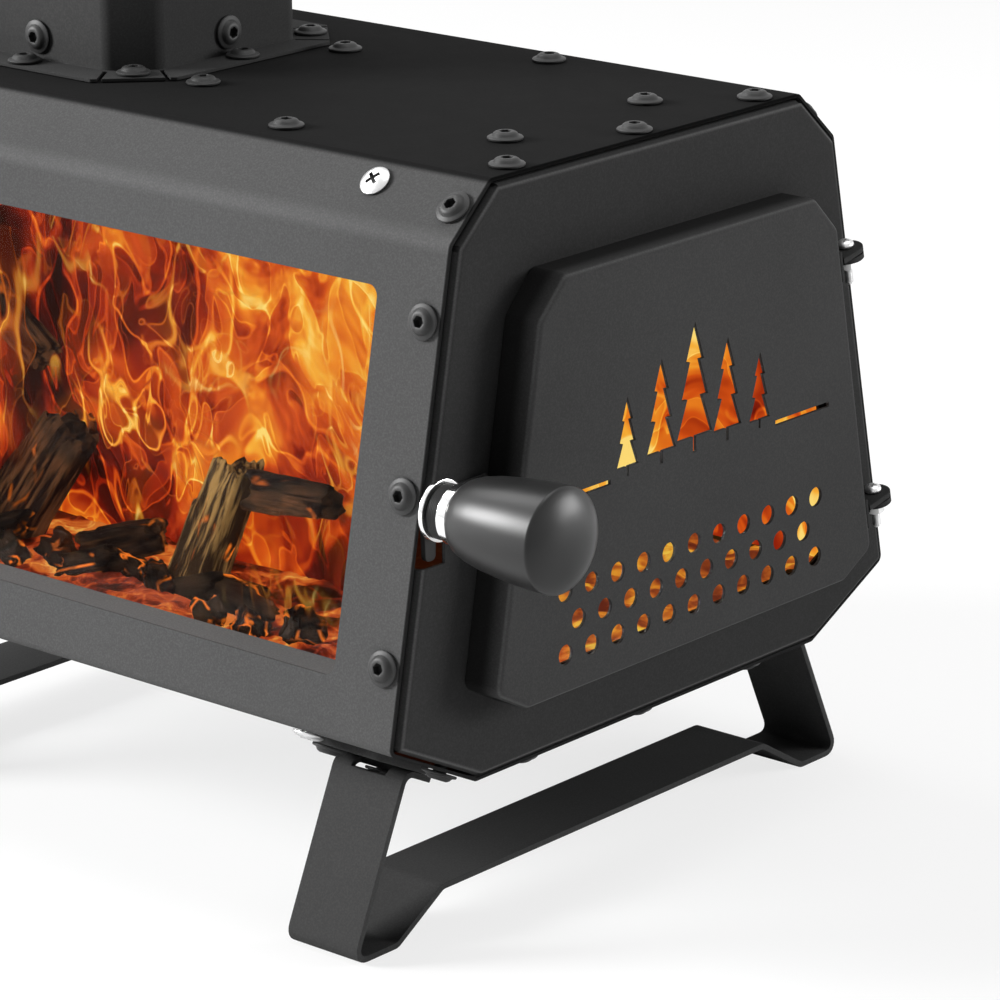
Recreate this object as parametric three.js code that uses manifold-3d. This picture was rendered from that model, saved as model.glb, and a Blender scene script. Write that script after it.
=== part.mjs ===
// Tent wood stove: a bent sheet shell with a side window, a hinged end door with a turning
// handle, two bent strip leg frames and a chamfered square flue box. Millimetres, +Z up.
// X runs along the shell towards the door, -Y is the window side.
import * as THREE from 'three';
import { mergeVertices } from 'three/addons/utils/BufferGeometryUtils.js';
import Module from 'manifold-3d';

const wasm = await Module();
wasm.setup();

// ---- driving dimensions ----------------------------------------------------------------

// shell: an eight-sided tube, described by half widths and the heights where it bends
const bodyLength = 330;
const bodyHeight = 200;
const topHalfWidth = 79.7;
const shoulderHalfWidth = 99.5;
const shoulderHeight = 181.9;
const hipHalfWidth = 131.3;
const hipHeight = 20.5;
const bottomHalfWidth = 90.3;
const sheet = 1.2;
const bendRadius = 3;

// clearances
const seatGap = 0.3;
const holeClearance = 0.35;

// end plates
const plateProud = 2.2;
const plateFlange = 14;
const reliefWidth = 2.4;
const reliefDepth = 4;
const doorOpeningMargin = 6;

// flanged button screws
const screwHeadRadius = 6;
const screwHeadHeight = 3;
const screwShankRadius = 2.3;
const screwLength = 7;
const screwInset = 7;
const topScrewPitch = 64;
const sideScrewPitch = 56;
const hipScrewOffset = -12;

// window
const windowSideMargin = 28;
const windowHeight = 127.3;
const windowRise = 1.45;
const windowCornerRadius = 4;
const frameInset = 1;
const frameWall = 1.5;
const frameDepth = 11.5;
const frameFlange = 9;
const gasketThickness = 1.5;
const gasketWidth = 6;
const glassThickness = 4;
const glassOverlap = 7;
const retainerLip = 7;
const retainerInset = 15;
const crossScrewRadius = 6.3;
const crossScrewShank = 2;

// door
const doorOffset = 2.3;
const doorDepth = 14.7;
const doorFaceGap = 0.4;
const doorBend = 2.5;
const doorTopHalf = 65.9;
const doorShoulderHalf = 78.7;
const doorHipHalf = 100.6;
const doorBottomHalf = 84.9;
const doorTop = 168.1;
const doorShoulder = 155.1;
const doorHip = 35.2;
const doorBottom = 26.6;

// door vents and cut-out trees
const ventRadius = 3.5;
const ventPitch = 13.36;
const ventRowPitch = 10.8;
const ventRowTop = 62.2;
const ventRowCounts = [11, 10, 11];
const treeBase = 94;
const treeHeights = [27, 36, 45, 36, 27];
const treePitch = 17.5;
const treeWidthShare = 0.42;
const groundSlotLength = 30;
const groundSlotHeight = 1.8;

// door hinge, on a line parallel to the sloping side of the shell
const hingeInset = 12.5;
const hingeProud = 7.3;
const hingeHeights = [52.4, 145];
const hingeTabRadius = 6;
const hingeTab = 2;
const hingeBaseHeight = 15;
const hingeBaseThickness = 1.6;
const hingeLeafDrop = 8;
const hingeLeafRise = 3;
const hingeBoltRadius = 1.5;
const hingeHeadRadius = 3;
const hingeHeadHeight = 2.2;
const hingeBoltLength = 14;
const hingeNutHeight = 3.2;
const hingeNutRadius = 3.1;

// latch and handle
const handleInset = 5;
const handleHeight = 98.9;
const latchTabThickness = 1.2;
const latchTabRadius = 6.2;
const latchStudRadius = 2.2;
const latchHubRadius = 3.2;
const camLength = 18;
const camHalfWidth = 2.4;
const camThickness = 2;
const camGap = 0.8;
const slotGap = 1.2;
const rearRingRadius = 10.3;
const rearRingWidth = 1.8;
const collarRadius = 9.2;
const collarWidth = 4.7;
const frontRingRadius = 10;
const frontRingWidth = 3.8;
const knobBaseRadius = 10.3;
const knobRadius = 17.5;
const knobLength = 39.5;
const knobDome = 5;

// leg frames
const legWidth = 31;
const legInset = 18.4;
const legThickness = 2.2;
const legHeight = 57.7;
const footOuterHalf = 131.1;
const footInnerHalf = 109.2;
const barHalf = 86.5;
const barRise = 13.7;
const legTopHalf = 101.8;
const legFlange = 13;
const legBend = 4;
const legSlotWidth = 15;
const bracketThickness = 2;
const bracketLength = 37.5;
const bracketWidth = 27;
const bracketScrewInset = 10;
const bracketScrewReach = 8.5;
const legScrewLength = 10;
const legSlotRise = 4;
const legSlotDrop = 1.1;

// flue box on the top
const flueHalf = 47;
const flueChamfer = 13.7;
const flueFromBack = 90;
const flueHeight = 62;
const flueFlange = 13;
const flueHole = 36;
const upstandHeight = 15;
const flueScrewHeight = 9.6;
const lidRim = 9;
const collarBore = 35;
const collarHeight = 34;
const collarBead = 1.6;

// inside the firebox
const grateLength = 270;
const grateHalf = 66;
const grateHeight = 22;
const grateThickness = 2;
const grateSlots = 9;
const grateSlotWidth = 8;
const baffleEndGap = 8;
const baffleHalf = 78;
const baffleDrop = 16;
const baffleThickness = 1.5;
const baffleTab = 13;
const baffleTabInset = 10;
const baffleTabSpread = 36;
const baffleSideSpread = 67;

// ---- materials ---------------------------------------------------------------------------

function material(color, roughness, metalness) {
  return new THREE.MeshStandardMaterial({ color, roughness, metalness });
}

const shellPaint = material(0x3b3c3d, 0.62, 0.2);
const doorPaint = material(0x2c2d2e, 0.6, 0.2);
const screwBlack = material(0x2a2a2b, 0.45, 0.6);
const zincPlate = material(0xd4d5d6, 0.25, 1);
const brightChrome = material(0xe2e3e4, 0.12, 1);
const knobBlack = material(0x1d1d1e, 0.18, 0);
const darkSteel = material(0x3a3836, 0.7, 0.6);
const gasketGrey = material(0xb9b6ad, 0.95, 0);
const clearGlass = new THREE.MeshStandardMaterial({
  color: 0xf1e6d6,
  roughness: 0.05,
  metalness: 0,
  transparent: true,
  opacity: 0.3,
});

// ---- outlines ----------------------------------------------------------------------------

function mirroredOutline(bottomHalf, bottom, hipHalf, hip, shoulderHalf, shoulder, topHalf, top) {
  const right = [[bottomHalf, bottom], [hipHalf, hip], [shoulderHalf, shoulder], [topHalf, top]];
  const left = right.map(([y, z]) => [-y, z]).reverse();
  return [...right, ...left].map(([y, z]) => new THREE.Vector2(y, z));
}

// moves every edge of a convex counter-clockwise outline inwards
function inset(points, distance) {
  return points.map((point, index) => {
    const before = points[(index + points.length - 1) % points.length];
    const after = points[(index + 1) % points.length];
    const incoming = point.clone().sub(before).normalize();
    const outgoing = after.clone().sub(point).normalize();
    const inward = new THREE.Vector2(-incoming.y - outgoing.y, incoming.x + outgoing.x).normalize();
    const cosine = inward.dot(new THREE.Vector2(-incoming.y, incoming.x));
    return point.clone().addScaledVector(inward, distance / cosine);
  });
}

// replaces each corner by an arc
function rounded(points, radius, steps = 2, closed = true) {
  const result = [];
  points.forEach((point, index) => {
    const end = index === 0 || index === points.length - 1;
    if (radius <= 0 || (!closed && end)) {
      result.push(point.clone());
      return;
    }
    const before = points[(index + points.length - 1) % points.length];
    const after = points[(index + 1) % points.length];
    const incoming = point.clone().sub(before).normalize();
    const outgoing = after.clone().sub(point).normalize();
    const turn = Math.atan2(incoming.cross(outgoing), incoming.dot(outgoing));
    const tangent = radius * Math.tan(Math.abs(turn) / 2);
    const start = point.clone().addScaledVector(incoming, -tangent);
    const side = Math.sign(turn);
    const sideways = new THREE.Vector2(-incoming.y, incoming.x).multiplyScalar(side * radius);
    const centre = start.clone().add(sideways);
    for (let step = 0; step <= steps; step += 1) {
      result.push(start.clone().rotateAround(centre, (turn * step) / steps));
    }
  });
  return result;
}

// the outline of a bent strip that follows a centre line
function stripOutline(path, thickness, radius, steps = 3) {
  const line = rounded(path, radius, steps, false);
  const left = [];
  const right = [];
  line.forEach((point, index) => {
    const incoming = point.clone().sub(line[Math.max(index - 1, 0)]);
    const outgoing = line[Math.min(index + 1, line.length - 1)].clone().sub(point);
    const first = (incoming.length() > 0 ? incoming : outgoing).clone().normalize();
    const second = (outgoing.length() > 0 ? outgoing : incoming).clone().normalize();
    const across = new THREE.Vector2(-first.y - second.y, first.x + second.x).normalize();
    const reach = thickness / 2 / across.dot(new THREE.Vector2(-first.y, first.x));
    left.push(point.clone().addScaledVector(across, reach));
    right.push(point.clone().addScaledVector(across, -reach));
  });
  return [...right, ...left.reverse()];
}

function rectangle(width, height, radius = 0, steps = 3) {
  const corners = [[-1, -1], [1, -1], [1, 1], [-1, 1]];
  const points = corners.map(([x, y]) => new THREE.Vector2((x * width) / 2, (y * height) / 2));
  return rounded(points, radius, steps);
}

function circle(radius, segments = 16) {
  const points = [];
  for (let step = 0; step < segments; step += 1) {
    const angle = (2 * Math.PI * step) / segments;
    points.push(new THREE.Vector2(radius * Math.cos(angle), radius * Math.sin(angle)));
  }
  return points;
}

function chamferedSquare(half, chamfer) {
  const inner = half - chamfer;
  const corners = [[half, -inner], [half, inner], [inner, half], [-inner, half]];
  const opposite = corners.map(([x, y]) => [-x, -y]);
  return [...corners, ...opposite].map(([x, y]) => new THREE.Vector2(x, y));
}

// ---- solids ------------------------------------------------------------------------------

function toSolid(geometry) {
  const bare = geometry.clone();
  bare.deleteAttribute('normal');
  bare.deleteAttribute('uv');
  const merged = mergeVertices(bare, 1e-4);
  return new wasm.Manifold(new wasm.Mesh({
    numProp: 3,
    vertProperties: new Float32Array(merged.attributes.position.array),
    triVerts: new Uint32Array(merged.index.array),
  }));
}

function toGeometry(solid) {
  const mesh = solid.getMesh();
  const geometry = new THREE.BufferGeometry();
  geometry.setAttribute('position', new THREE.BufferAttribute(new Float32Array(mesh.vertProperties), 3));
  geometry.setIndex(new THREE.BufferAttribute(new Uint32Array(mesh.triVerts), 1));
  geometry.computeVertexNormals();
  return geometry;
}

function cut(geometry, cutters) {
  return toGeometry(cutters.reduce((solid, cutter) => solid.subtract(toSolid(cutter)), toSolid(geometry)));
}

function join(geometries) {
  const [first, ...rest] = geometries.map(toSolid);
  return toGeometry(rest.reduce((solid, other) => solid.add(other), first));
}

function extruded(outline, depth, holes = []) {
  const shape = new THREE.Shape(outline);
  holes.forEach((hole) => shape.holes.push(new THREE.Path(hole)));
  return new THREE.ExtrudeGeometry(shape, { depth, bevelEnabled: false });
}

// an outline in Y and Z, drawn out along X
const alongXBasis = new THREE.Matrix4().makeBasis(
  new THREE.Vector3(0, 1, 0),
  new THREE.Vector3(0, 0, 1),
  new THREE.Vector3(1, 0, 0),
);

function alongX(outline, fromX, toX, holes = []) {
  return extruded(outline, toX - fromX, holes).applyMatrix4(alongXBasis).translate(fromX, 0, 0);
}

// an outline in X and Y, drawn up along Z
function alongZ(outline, fromZ, toZ, holes = []) {
  return extruded(outline, toZ - fromZ, holes).translate(0, 0, fromZ);
}

function box(fromX, toX, fromY, toY, fromZ, toZ) {
  const size = new THREE.BoxGeometry(toX - fromX, toY - fromY, toZ - fromZ);
  return size.translate((fromX + toX) / 2, (fromY + toY) / 2, (fromZ + toZ) / 2);
}

// a closed skin over convex outlines in Y and Z, one for each X, in rising order of X
function lofted(rings) {
  const count = rings[0].outline.length;
  const positions = rings.flatMap(({ x, outline }) => outline.flatMap((point) => [x, point.x, point.y]));
  const faces = [];
  for (let ring = 0; ring + 1 < rings.length; ring += 1) {
    for (let index = 0; index < count; index += 1) {
      const next = (index + 1) % count;
      const low = ring * count;
      const high = low + count;
      faces.push(low + index, low + next, high + next, low + index, high + next, high + index);
    }
  }
  const last = (rings.length - 1) * count;
  for (let index = 1; index + 1 < count; index += 1) {
    faces.push(0, index + 1, index, last, last + index, last + index + 1);
  }
  const geometry = new THREE.BufferGeometry();
  geometry.setAttribute('position', new THREE.Float32BufferAttribute(positions, 3));
  geometry.setIndex(faces);
  return geometry;
}

function turned(profile, segments = 12) {
  const points = profile.map(([radius, height]) => new THREE.Vector2(radius, height));
  return new THREE.LatheGeometry(points, segments).rotateX(Math.PI / 2);
}

// ---- scene helpers -----------------------------------------------------------------------

const stove = new THREE.Group();

function add(name, geometry, finish, placement = new THREE.Matrix4(), parent = stove) {
  const mesh = new THREE.Mesh(geometry, finish);
  mesh.name = name;
  placement.decompose(mesh.position, mesh.quaternion, mesh.scale);
  parent.add(mesh);
  return mesh;
}

// ---- shell faces -------------------------------------------------------------------------

const shellOutline = mirroredOutline(
  bottomHalfWidth, 0,
  hipHalfWidth, hipHeight,
  shoulderHalfWidth, shoulderHeight,
  topHalfWidth, bodyHeight,
);
const faceStart = {
  backHip: 0,
  backSide: 1,
  backShoulder: 2,
  top: 3,
  windowShoulder: 4,
  windowSide: 5,
  windowHip: 6,
};

// a frame on a face of the shell: X along the shell, Y up the face, Z straight out of it
function onFace(face, x = 0, up = 0, out = 0) {
  const from = shellOutline[faceStart[face]];
  const to = shellOutline[faceStart[face] + 1];
  const edge = to.clone().sub(from).normalize();
  const middle = from.clone().add(to).multiplyScalar(0.5);
  const upward = new THREE.Vector3(0, -edge.x, -edge.y);
  const outward = new THREE.Vector3(0, edge.y, -edge.x);
  const frame = new THREE.Matrix4().makeBasis(new THREE.Vector3(1, 0, 0), upward, outward);
  const position = new THREE.Vector3(x, middle.x, middle.y);
  frame.setPosition(position.addScaledVector(upward, up).addScaledVector(outward, out));
  return frame;
}

// half width of the shell's side at a height between hip and shoulder
function sideHalfWidth(height) {
  const share = (height - hipHeight) / (shoulderHeight - hipHeight);
  return hipHalfWidth + (shoulderHalfWidth - hipHalfWidth) * share;
}
const sideSlope = Math.atan2(hipHalfWidth - shoulderHalfWidth, shoulderHeight - hipHeight);

// ---- fasteners ---------------------------------------------------------------------------

const holeCutters = [];

function holeCutter(placement, radius, depth) {
  const cutter = new THREE.CylinderGeometry(radius, radius, 2 * depth, 12);
  return cutter.rotateX(Math.PI / 2).applyMatrix4(placement);
}

function buttonScrew(length = screwLength) {
  const socket = 1.7;
  return turned([
    [0, -length],
    [screwShankRadius, -length],
    [screwShankRadius, seatGap],
    [screwHeadRadius, seatGap],
    [screwHeadRadius, 1.1],
    [0.78 * screwHeadRadius, 1.5],
    [0.62 * screwHeadRadius, 2.5],
    [0.42 * screwHeadRadius, screwHeadHeight],
    [socket, screwHeadHeight],
    [socket, 1.4],
    [0, 1.4],
  ], 10);
}

function crossScrew() {
  return turned([
    [0, -screwLength],
    [crossScrewShank, -screwLength],
    [crossScrewShank, seatGap],
    [crossScrewRadius, seatGap],
    [crossScrewRadius, 1],
    [0.7 * crossScrewRadius, 2.1],
    [0.3 * crossScrewRadius, 2.4],
    [0, 1.2],
  ], 12);
}

function addScrew(name, placement, finish = screwBlack, geometry = buttonScrew(), radius = screwShankRadius) {
  add(name, geometry, finish, placement);
  holeCutters.push(holeCutter(placement, radius + holeClearance, screwLength + 2));
}

const plateScrewX = -screwInset;
[-1, 0, 1].forEach((step) => {
  const spot = ['window_side', 'middle', 'back_side'][step + 1];
  addScrew(`top_screw_${spot}`, onFace('top', plateScrewX, step * topScrewPitch));
  const level = ['lower', 'middle', 'upper'][step + 1];
  addScrew(`side_screw_${level}`, onFace('windowSide', plateScrewX, 1 + step * sideScrewPitch));
});
addScrew('shoulder_screw', onFace('windowShoulder', plateScrewX));
addScrew('hip_screw', onFace('windowHip', plateScrewX, hipScrewOffset));

const retainerScrewX = [-retainerInset - windowSideMargin, -bodyLength + retainerInset + windowSideMargin];
const retainerScrewUp = { windowShoulder: 4, windowHip: 14 };
Object.entries(retainerScrewUp).forEach(([face, up]) => {
  retainerScrewX.forEach((x, index) => {
    const level = face === 'windowShoulder' ? 'upper' : 'lower';
    const end = ['door_end', 'flue_end'][index];
    addScrew(`retainer_screw_${level}_${end}`, onFace(face, x, up), zincPlate, crossScrew(), crossScrewShank);
  });
});

// ---- end plates --------------------------------------------------------------------------

const plateOutline = inset(shellOutline, sheet + seatGap);
const plateInner = plateProud - sheet;

// a shallow cup that slips into the end of the shell, its face just proud of the shell's edge
function plateCup(face, rim) {
  const cornerAt = (distance) => Math.max(bendRadius - sheet - distance, 0.6);
  const outer = (distance) => rounded(inset(plateOutline, distance), cornerAt(distance));
  const inward = Math.sign(rim - face);
  const ring = (x, distance) => ({ x: face + inward * x, outline: outer(distance) });
  const order = (rings) => (inward < 0 ? rings.reverse() : rings);
  const depth = Math.abs(rim - face);
  const bend = bendRadius;
  const rings = [ring(0, bend * 0.8), ring(bend * 0.3, bend * 0.25), ring(bend, 0), ring(depth, 0)];
  const solid = lofted(order(rings));
  const hollow = lofted(order([
    ring(sheet, sheet + bend * 0.6),
    ring(sheet + bend * 0.5, sheet),
    ring(depth + 1, sheet),
  ]));
  const notches = plateOutline.map((corner, index) => {
    const centre = inset(plateOutline, reliefDepth)[index];
    const direction = Math.atan2(corner.y - centre.y, corner.x - centre.x);
    const slot = rectangle(2 * reliefDepth, reliefWidth);
    slot.forEach((point) => point.rotateAround(new THREE.Vector2(), direction));
    const placed = slot.map((point) => point.add(corner));
    const ends = [face + inward * (sheet * 0.9), rim + inward];
    return alongX(placed, Math.min(...ends), Math.max(...ends));
  });
  return cut(solid, [hollow, ...notches]);
}

const doorOutline = mirroredOutline(
  doorBottomHalf, doorBottom,
  doorHipHalf, doorHip,
  doorShoulderHalf, doorShoulder,
  doorTopHalf, doorTop,
).map((point) => point.add(new THREE.Vector2(doorOffset, 0)));

const handleY = -(sideHalfWidth(handleHeight) - handleInset);
const camBack = plateInner - camGap - camThickness;
const studEnd = camBack - seatGap - 1.4;
const latchSlot = box(
  studEnd - slotGap,
  plateProud + 1,
  -sideHalfWidth(handleHeight - camLength) - 1,
  handleY + latchHubRadius + slotGap,
  handleHeight - camLength - slotGap,
  handleHeight + latchHubRadius + slotGap,
);
const doorOpening = alongX(rounded(inset(doorOutline, doorOpeningMargin), 6), -plateFlange, plateProud + 1);

const frontCuts = [doorOpening, latchSlot, ...holeCutters];
add('front_plate', cut(plateCup(plateProud, -plateFlange), frontCuts), shellPaint);
add('rear_plate', plateCup(-bodyLength - plateProud, -bodyLength + plateFlange), shellPaint);

// ---- window ------------------------------------------------------------------------------

const windowWidth = bodyLength - 2 * windowSideMargin;
const windowOutline = (grow) => (
  rectangle(windowWidth + 2 * grow, windowHeight + 2 * grow, windowCornerRadius, 2)
);
const windowPlace = onFace('windowSide', -bodyLength / 2, windowRise);
const windowGroup = new THREE.Group();
windowPlace.decompose(windowGroup.position, windowGroup.quaternion, windowGroup.scale);
stove.add(windowGroup);

const frameFront = -sheet - seatGap;
const frameBack = frameFront - frameDepth;
const frameGeometry = cut(
  join([
    alongZ(windowOutline(frameInset + frameWall), frameBack, frameFront),
    alongZ(windowOutline(frameInset + frameFlange), frameFront - sheet, frameFront),
  ]),
  [alongZ(windowOutline(frameInset), frameBack - 1, frameFront + 1)],
);
add('window_frame', frameGeometry, shellPaint, undefined, windowGroup);

const gasketFront = frameBack - seatGap;
const gasketGeometry = alongZ(
  windowOutline(frameInset + gasketWidth),
  gasketFront - gasketThickness,
  gasketFront,
  [windowOutline(frameInset)],
);
add('window_gasket', gasketGeometry, gasketGrey, undefined, windowGroup);

const glassFront = gasketFront - gasketThickness - seatGap;
const glassBack = glassFront - glassThickness;
const glassGeometry = alongZ(windowOutline(glassOverlap), glassBack, glassFront);
add('window_glass', glassGeometry, clearGlass, undefined, windowGroup);

// a bent strip screwed under the shoulder or over the hip, with a lip behind the glass
function retainer(face, footOut, footIn, towards) {
  const fromFrame = (frame, up, out) => {
    const point = new THREE.Vector3(0, up, out).applyMatrix4(frame);
    return new THREE.Vector2(point.y, point.z);
  };
  const faceFrame = onFace(face);
  const depth = -sheet - seatGap - sheet / 2;
  const lipOut = glassBack - seatGap - sheet / 2;
  const edge = towards * (windowHeight / 2 + glassOverlap);
  const start = fromFrame(faceFrame, footOut, depth);
  const inner = fromFrame(faceFrame, footIn, depth);
  const turn = fromFrame(windowPlace, edge + towards * 1.5, lipOut);
  const tip = fromFrame(windowPlace, edge - towards * retainerLip, lipOut);
  return stripOutline([start, inner, turn, tip], sheet, 1, 2);
}
const retainerRange = [-bodyLength + plateFlange + 8, -plateFlange - 8];
const retainerSpan = (outline) => alongX(outline, ...retainerRange);
const upperRetainer = retainer('windowShoulder', 10, -8, 1);
const lowerRetainer = retainer('windowHip', 19, 3, -1);
add('glass_retainer_upper', cut(retainerSpan(upperRetainer), holeCutters), darkSteel);
add('glass_retainer_lower', cut(retainerSpan(lowerRetainer), holeCutters), darkSteel);

// ---- legs --------------------------------------------------------------------------------

const legCentres = { front: -legInset - legWidth / 2, rear: -bodyLength + legInset + legWidth / 2 };
const hipMiddle = (hipHalfWidth + bottomHalfWidth) / 2;
const hipLength = Math.hypot(hipHalfWidth - bottomHalfWidth, hipHeight);
const hipAlong = (half) => ((half - hipMiddle) * hipLength) / (hipHalfWidth - bottomHalfWidth);
const flangeOut = -(seatGap + bracketThickness + seatGap + legThickness / 2);

function legOutline() {
  const hip = onFace('backHip');
  const onHip = (along) => {
    const point = new THREE.Vector3(0, -along, -flangeOut).applyMatrix4(hip);
    return new THREE.Vector2(point.y, point.z);
  };
  const bend = hipAlong(legTopHalf);
  const half = legThickness / 2;
  const right = [
    onHip(bend - legFlange),
    onHip(bend),
    new THREE.Vector2(footOuterHalf - half, -legHeight + half),
    new THREE.Vector2(footInnerHalf, -legHeight + half),
    new THREE.Vector2(barHalf, -legHeight + barRise + half),
  ];
  const left = right.map((point) => new THREE.Vector2(-point.x, point.y)).reverse();
  return stripOutline([...right, ...left], legThickness, legBend);
}

const bracketFrom = hipAlong(legTopHalf) - legFlange + 1;

Object.entries(legCentres).forEach(([end, centre]) => {
  const outwardX = end === 'front' ? 1 : -1;
  const cutters = [];
  ['window', 'back'].forEach((side) => {
    const face = `${side}Hip`;
    const up = side === 'window' ? 1 : -1;
    const bend = up * hipAlong(legTopHalf);
    const flangeMiddle = up * (hipAlong(legTopHalf) - legFlange / 2);
    const seat = -flangeOut + legThickness / 2;
    const legScrew = onFace(face, centre, flangeMiddle, seat);
    const bracketScrewX = centre - outwardX * (bracketLength - legWidth / 2 - bracketScrewInset);
    const bracketMiddle = up * (bracketFrom + bracketWidth / 2);
    const bracketScrewUp = up * (hipAlong(legTopHalf) + bracketScrewReach);
    const bracketScrew = onFace(face, bracketScrewX, bracketScrewUp, seatGap + bracketThickness);
    addScrew(`leg_screw_${end}_${side}`, legScrew, screwBlack, buttonScrew(legScrewLength));
    if (side === 'window') {
      addScrew(`bracket_screw_${end}`, bracketScrew);
    }
    cutters.push(holeCutter(legScrew, screwShankRadius + holeClearance, screwLength + 2));
    const relief = new THREE.BoxGeometry(legSlotWidth, legBend + 5, 2 * legSlotRise);
    cutters.push(relief.applyMatrix4(onFace(face, centre, bend + up * 0.5, -flangeOut + legSlotDrop)));
    const bracketMiddleX = centre - outwardX * ((bracketLength - legWidth) / 2);
    const plate = new THREE.BoxGeometry(bracketLength, bracketWidth, bracketThickness);
    const placed = onFace(face, bracketMiddleX, bracketMiddle, seatGap + bracketThickness / 2);
    add(`leg_bracket_${end}_${side}`, cut(plate.applyMatrix4(placed), holeCutters), doorPaint);
  });
  const strip = alongX(legOutline(), centre - legWidth / 2, centre + legWidth / 2);
  add(`leg_frame_${end}`, cut(strip, cutters), doorPaint);
});

// ---- flue --------------------------------------------------------------------------------

const flueX = -bodyLength + flueFromBack;
const flueGroup = new THREE.Group();
flueGroup.position.set(flueX, 0, bodyHeight);
stove.add(flueGroup);

const flueTop = seatGap + flueHeight;
const fluePlan = (half, chamfer) => chamferedSquare(half, chamfer);
const insetPlan = (distance) => inset(chamferedSquare(flueHalf, flueChamfer), distance);
const flangeReliefs = fluePlan(flueHalf, flueChamfer).map((corner) => {
  const direction = corner.angle();
  const slot = rectangle(2 * flueFlange, 1.6);
  slot.forEach((point) => point.add(new THREE.Vector2(flueFlange + 0.6, 0)));
  const placed = slot.map((point) => point.rotateAround(new THREE.Vector2(), direction).add(corner));
  return alongZ(placed, -1, seatGap + sheet + 1);
});
const wallScrewSpots = { window_side: -Math.PI / 2, door_side: 0 };
const wallScrewPlace = (angle) => {
  const frame = new THREE.Matrix4().makeRotationZ(angle);
  frame.multiply(new THREE.Matrix4().makeTranslation(flueHalf, 0, flueScrewHeight));
  return frame.multiply(new THREE.Matrix4().makeRotationY(Math.PI / 2));
};
const wallScrewCutters = Object.values(wallScrewSpots).map((angle) => (
  holeCutter(wallScrewPlace(angle), screwShankRadius + holeClearance, screwLength + 2)
));
Object.entries(wallScrewSpots).forEach(([side, angle]) => {
  add(`flue_wall_screw_${side}`, buttonScrew(), screwBlack, wallScrewPlace(angle), flueGroup);
});

const flangeScrewReach = flueHalf + flueFlange / 2 + 0.7;
const flangeScrewPlaces = {
  window_side: new THREE.Matrix4().makeTranslation(flueX, -flangeScrewReach, bodyHeight + seatGap + sheet),
  door_side: new THREE.Matrix4().makeTranslation(flueX + flangeScrewReach, 0, bodyHeight + seatGap + sheet),
};
const flangeScrewCutters = Object.values(flangeScrewPlaces).map((placement) => (
  holeCutter(placement, screwShankRadius + holeClearance, screwLength + 2).translate(-flueX, 0, -bodyHeight)
));
Object.entries(flangeScrewPlaces).forEach(([spot, placement]) => {
  addScrew(`flue_flange_screw_${spot}`, placement);
});

const boxGeometry = cut(
  join([
    alongZ(insetPlan(0), seatGap, flueTop, [insetPlan(sheet)]),
    alongZ(insetPlan(-flueFlange), seatGap, seatGap + sheet, [insetPlan(sheet)]),
  ]),
  [...flangeReliefs, ...wallScrewCutters, ...flangeScrewCutters],
);
add('flue_box', boxGeometry, shellPaint, undefined, flueGroup);

const upstandGeometry = cut(
  join([
    alongZ(insetPlan(sheet + seatGap), seatGap, upstandHeight, [insetPlan(2 * sheet + seatGap)]),
    alongZ(insetPlan(sheet + seatGap), seatGap, seatGap + sheet, [circle(flueHole, 24)]),
  ]),
  wallScrewCutters,
);
add('flue_upstand', upstandGeometry, darkSteel, undefined, flueGroup);

const lidFloor = flueTop + seatGap;
const lidGeometry = join([
  alongZ(insetPlan(-seatGap - sheet), lidFloor, lidFloor + sheet, [circle(collarBore - 2, 24)]),
  alongZ(insetPlan(-seatGap - sheet), flueTop - lidRim, flueTop + seatGap + sheet, [insetPlan(-seatGap)]),
]);
add('flue_lid', lidGeometry, shellPaint, undefined, flueGroup);

const collarBase = flueTop + 2 * seatGap + sheet;
const collarProfile = [
  [collarBore, collarBase],
  [collarBore + 7, collarBase],
  [collarBore + 7, collarBase + sheet],
  [collarBore + sheet, collarBase + sheet],
  [collarBore + sheet, collarBase + collarHeight * 0.62],
  [collarBore + sheet + collarBead, collarBase + collarHeight * 0.68],
  [collarBore + sheet, collarBase + collarHeight * 0.74],
  [collarBore + sheet, collarBase + collarHeight],
  [collarBore, collarBase + collarHeight],
  [collarBore, collarBase],
];
add('flue_collar', turned(collarProfile, 24), shellPaint, undefined, flueGroup);

// ---- firebox furniture -------------------------------------------------------------------

const grateFloor = sheet + seatGap;
const gratePath = [
  [-grateHalf, grateFloor],
  [-grateHalf, grateFloor + grateHeight],
  [grateHalf, grateFloor + grateHeight],
  [grateHalf, grateFloor],
].map(([y, z]) => new THREE.Vector2(y, z));
const grateRange = [-bodyLength / 2 - grateLength / 2, -bodyLength / 2 + grateLength / 2];
const gratePitch = grateLength / grateSlots;
const grateCutters = [];
for (let slot = 0; slot < grateSlots; slot += 1) {
  const x = grateRange[0] + gratePitch * (slot + 0.5);
  [-1, 1].forEach((side) => {
    const opening = rectangle(grateSlotWidth, 0.7 * grateHalf, grateSlotWidth / 2 - 0.1, 3);
    const placed = alongZ(opening, grateHeight - grateThickness, grateHeight + 2 * grateThickness);
    grateCutters.push(placed.translate(x, side * 0.45 * grateHalf, 0));
  });
}
const grateStrip = stripOutline(gratePath, grateThickness, 3, 2);
add('fire_grate', cut(alongX(grateStrip, ...grateRange), grateCutters), darkSteel);

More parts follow.
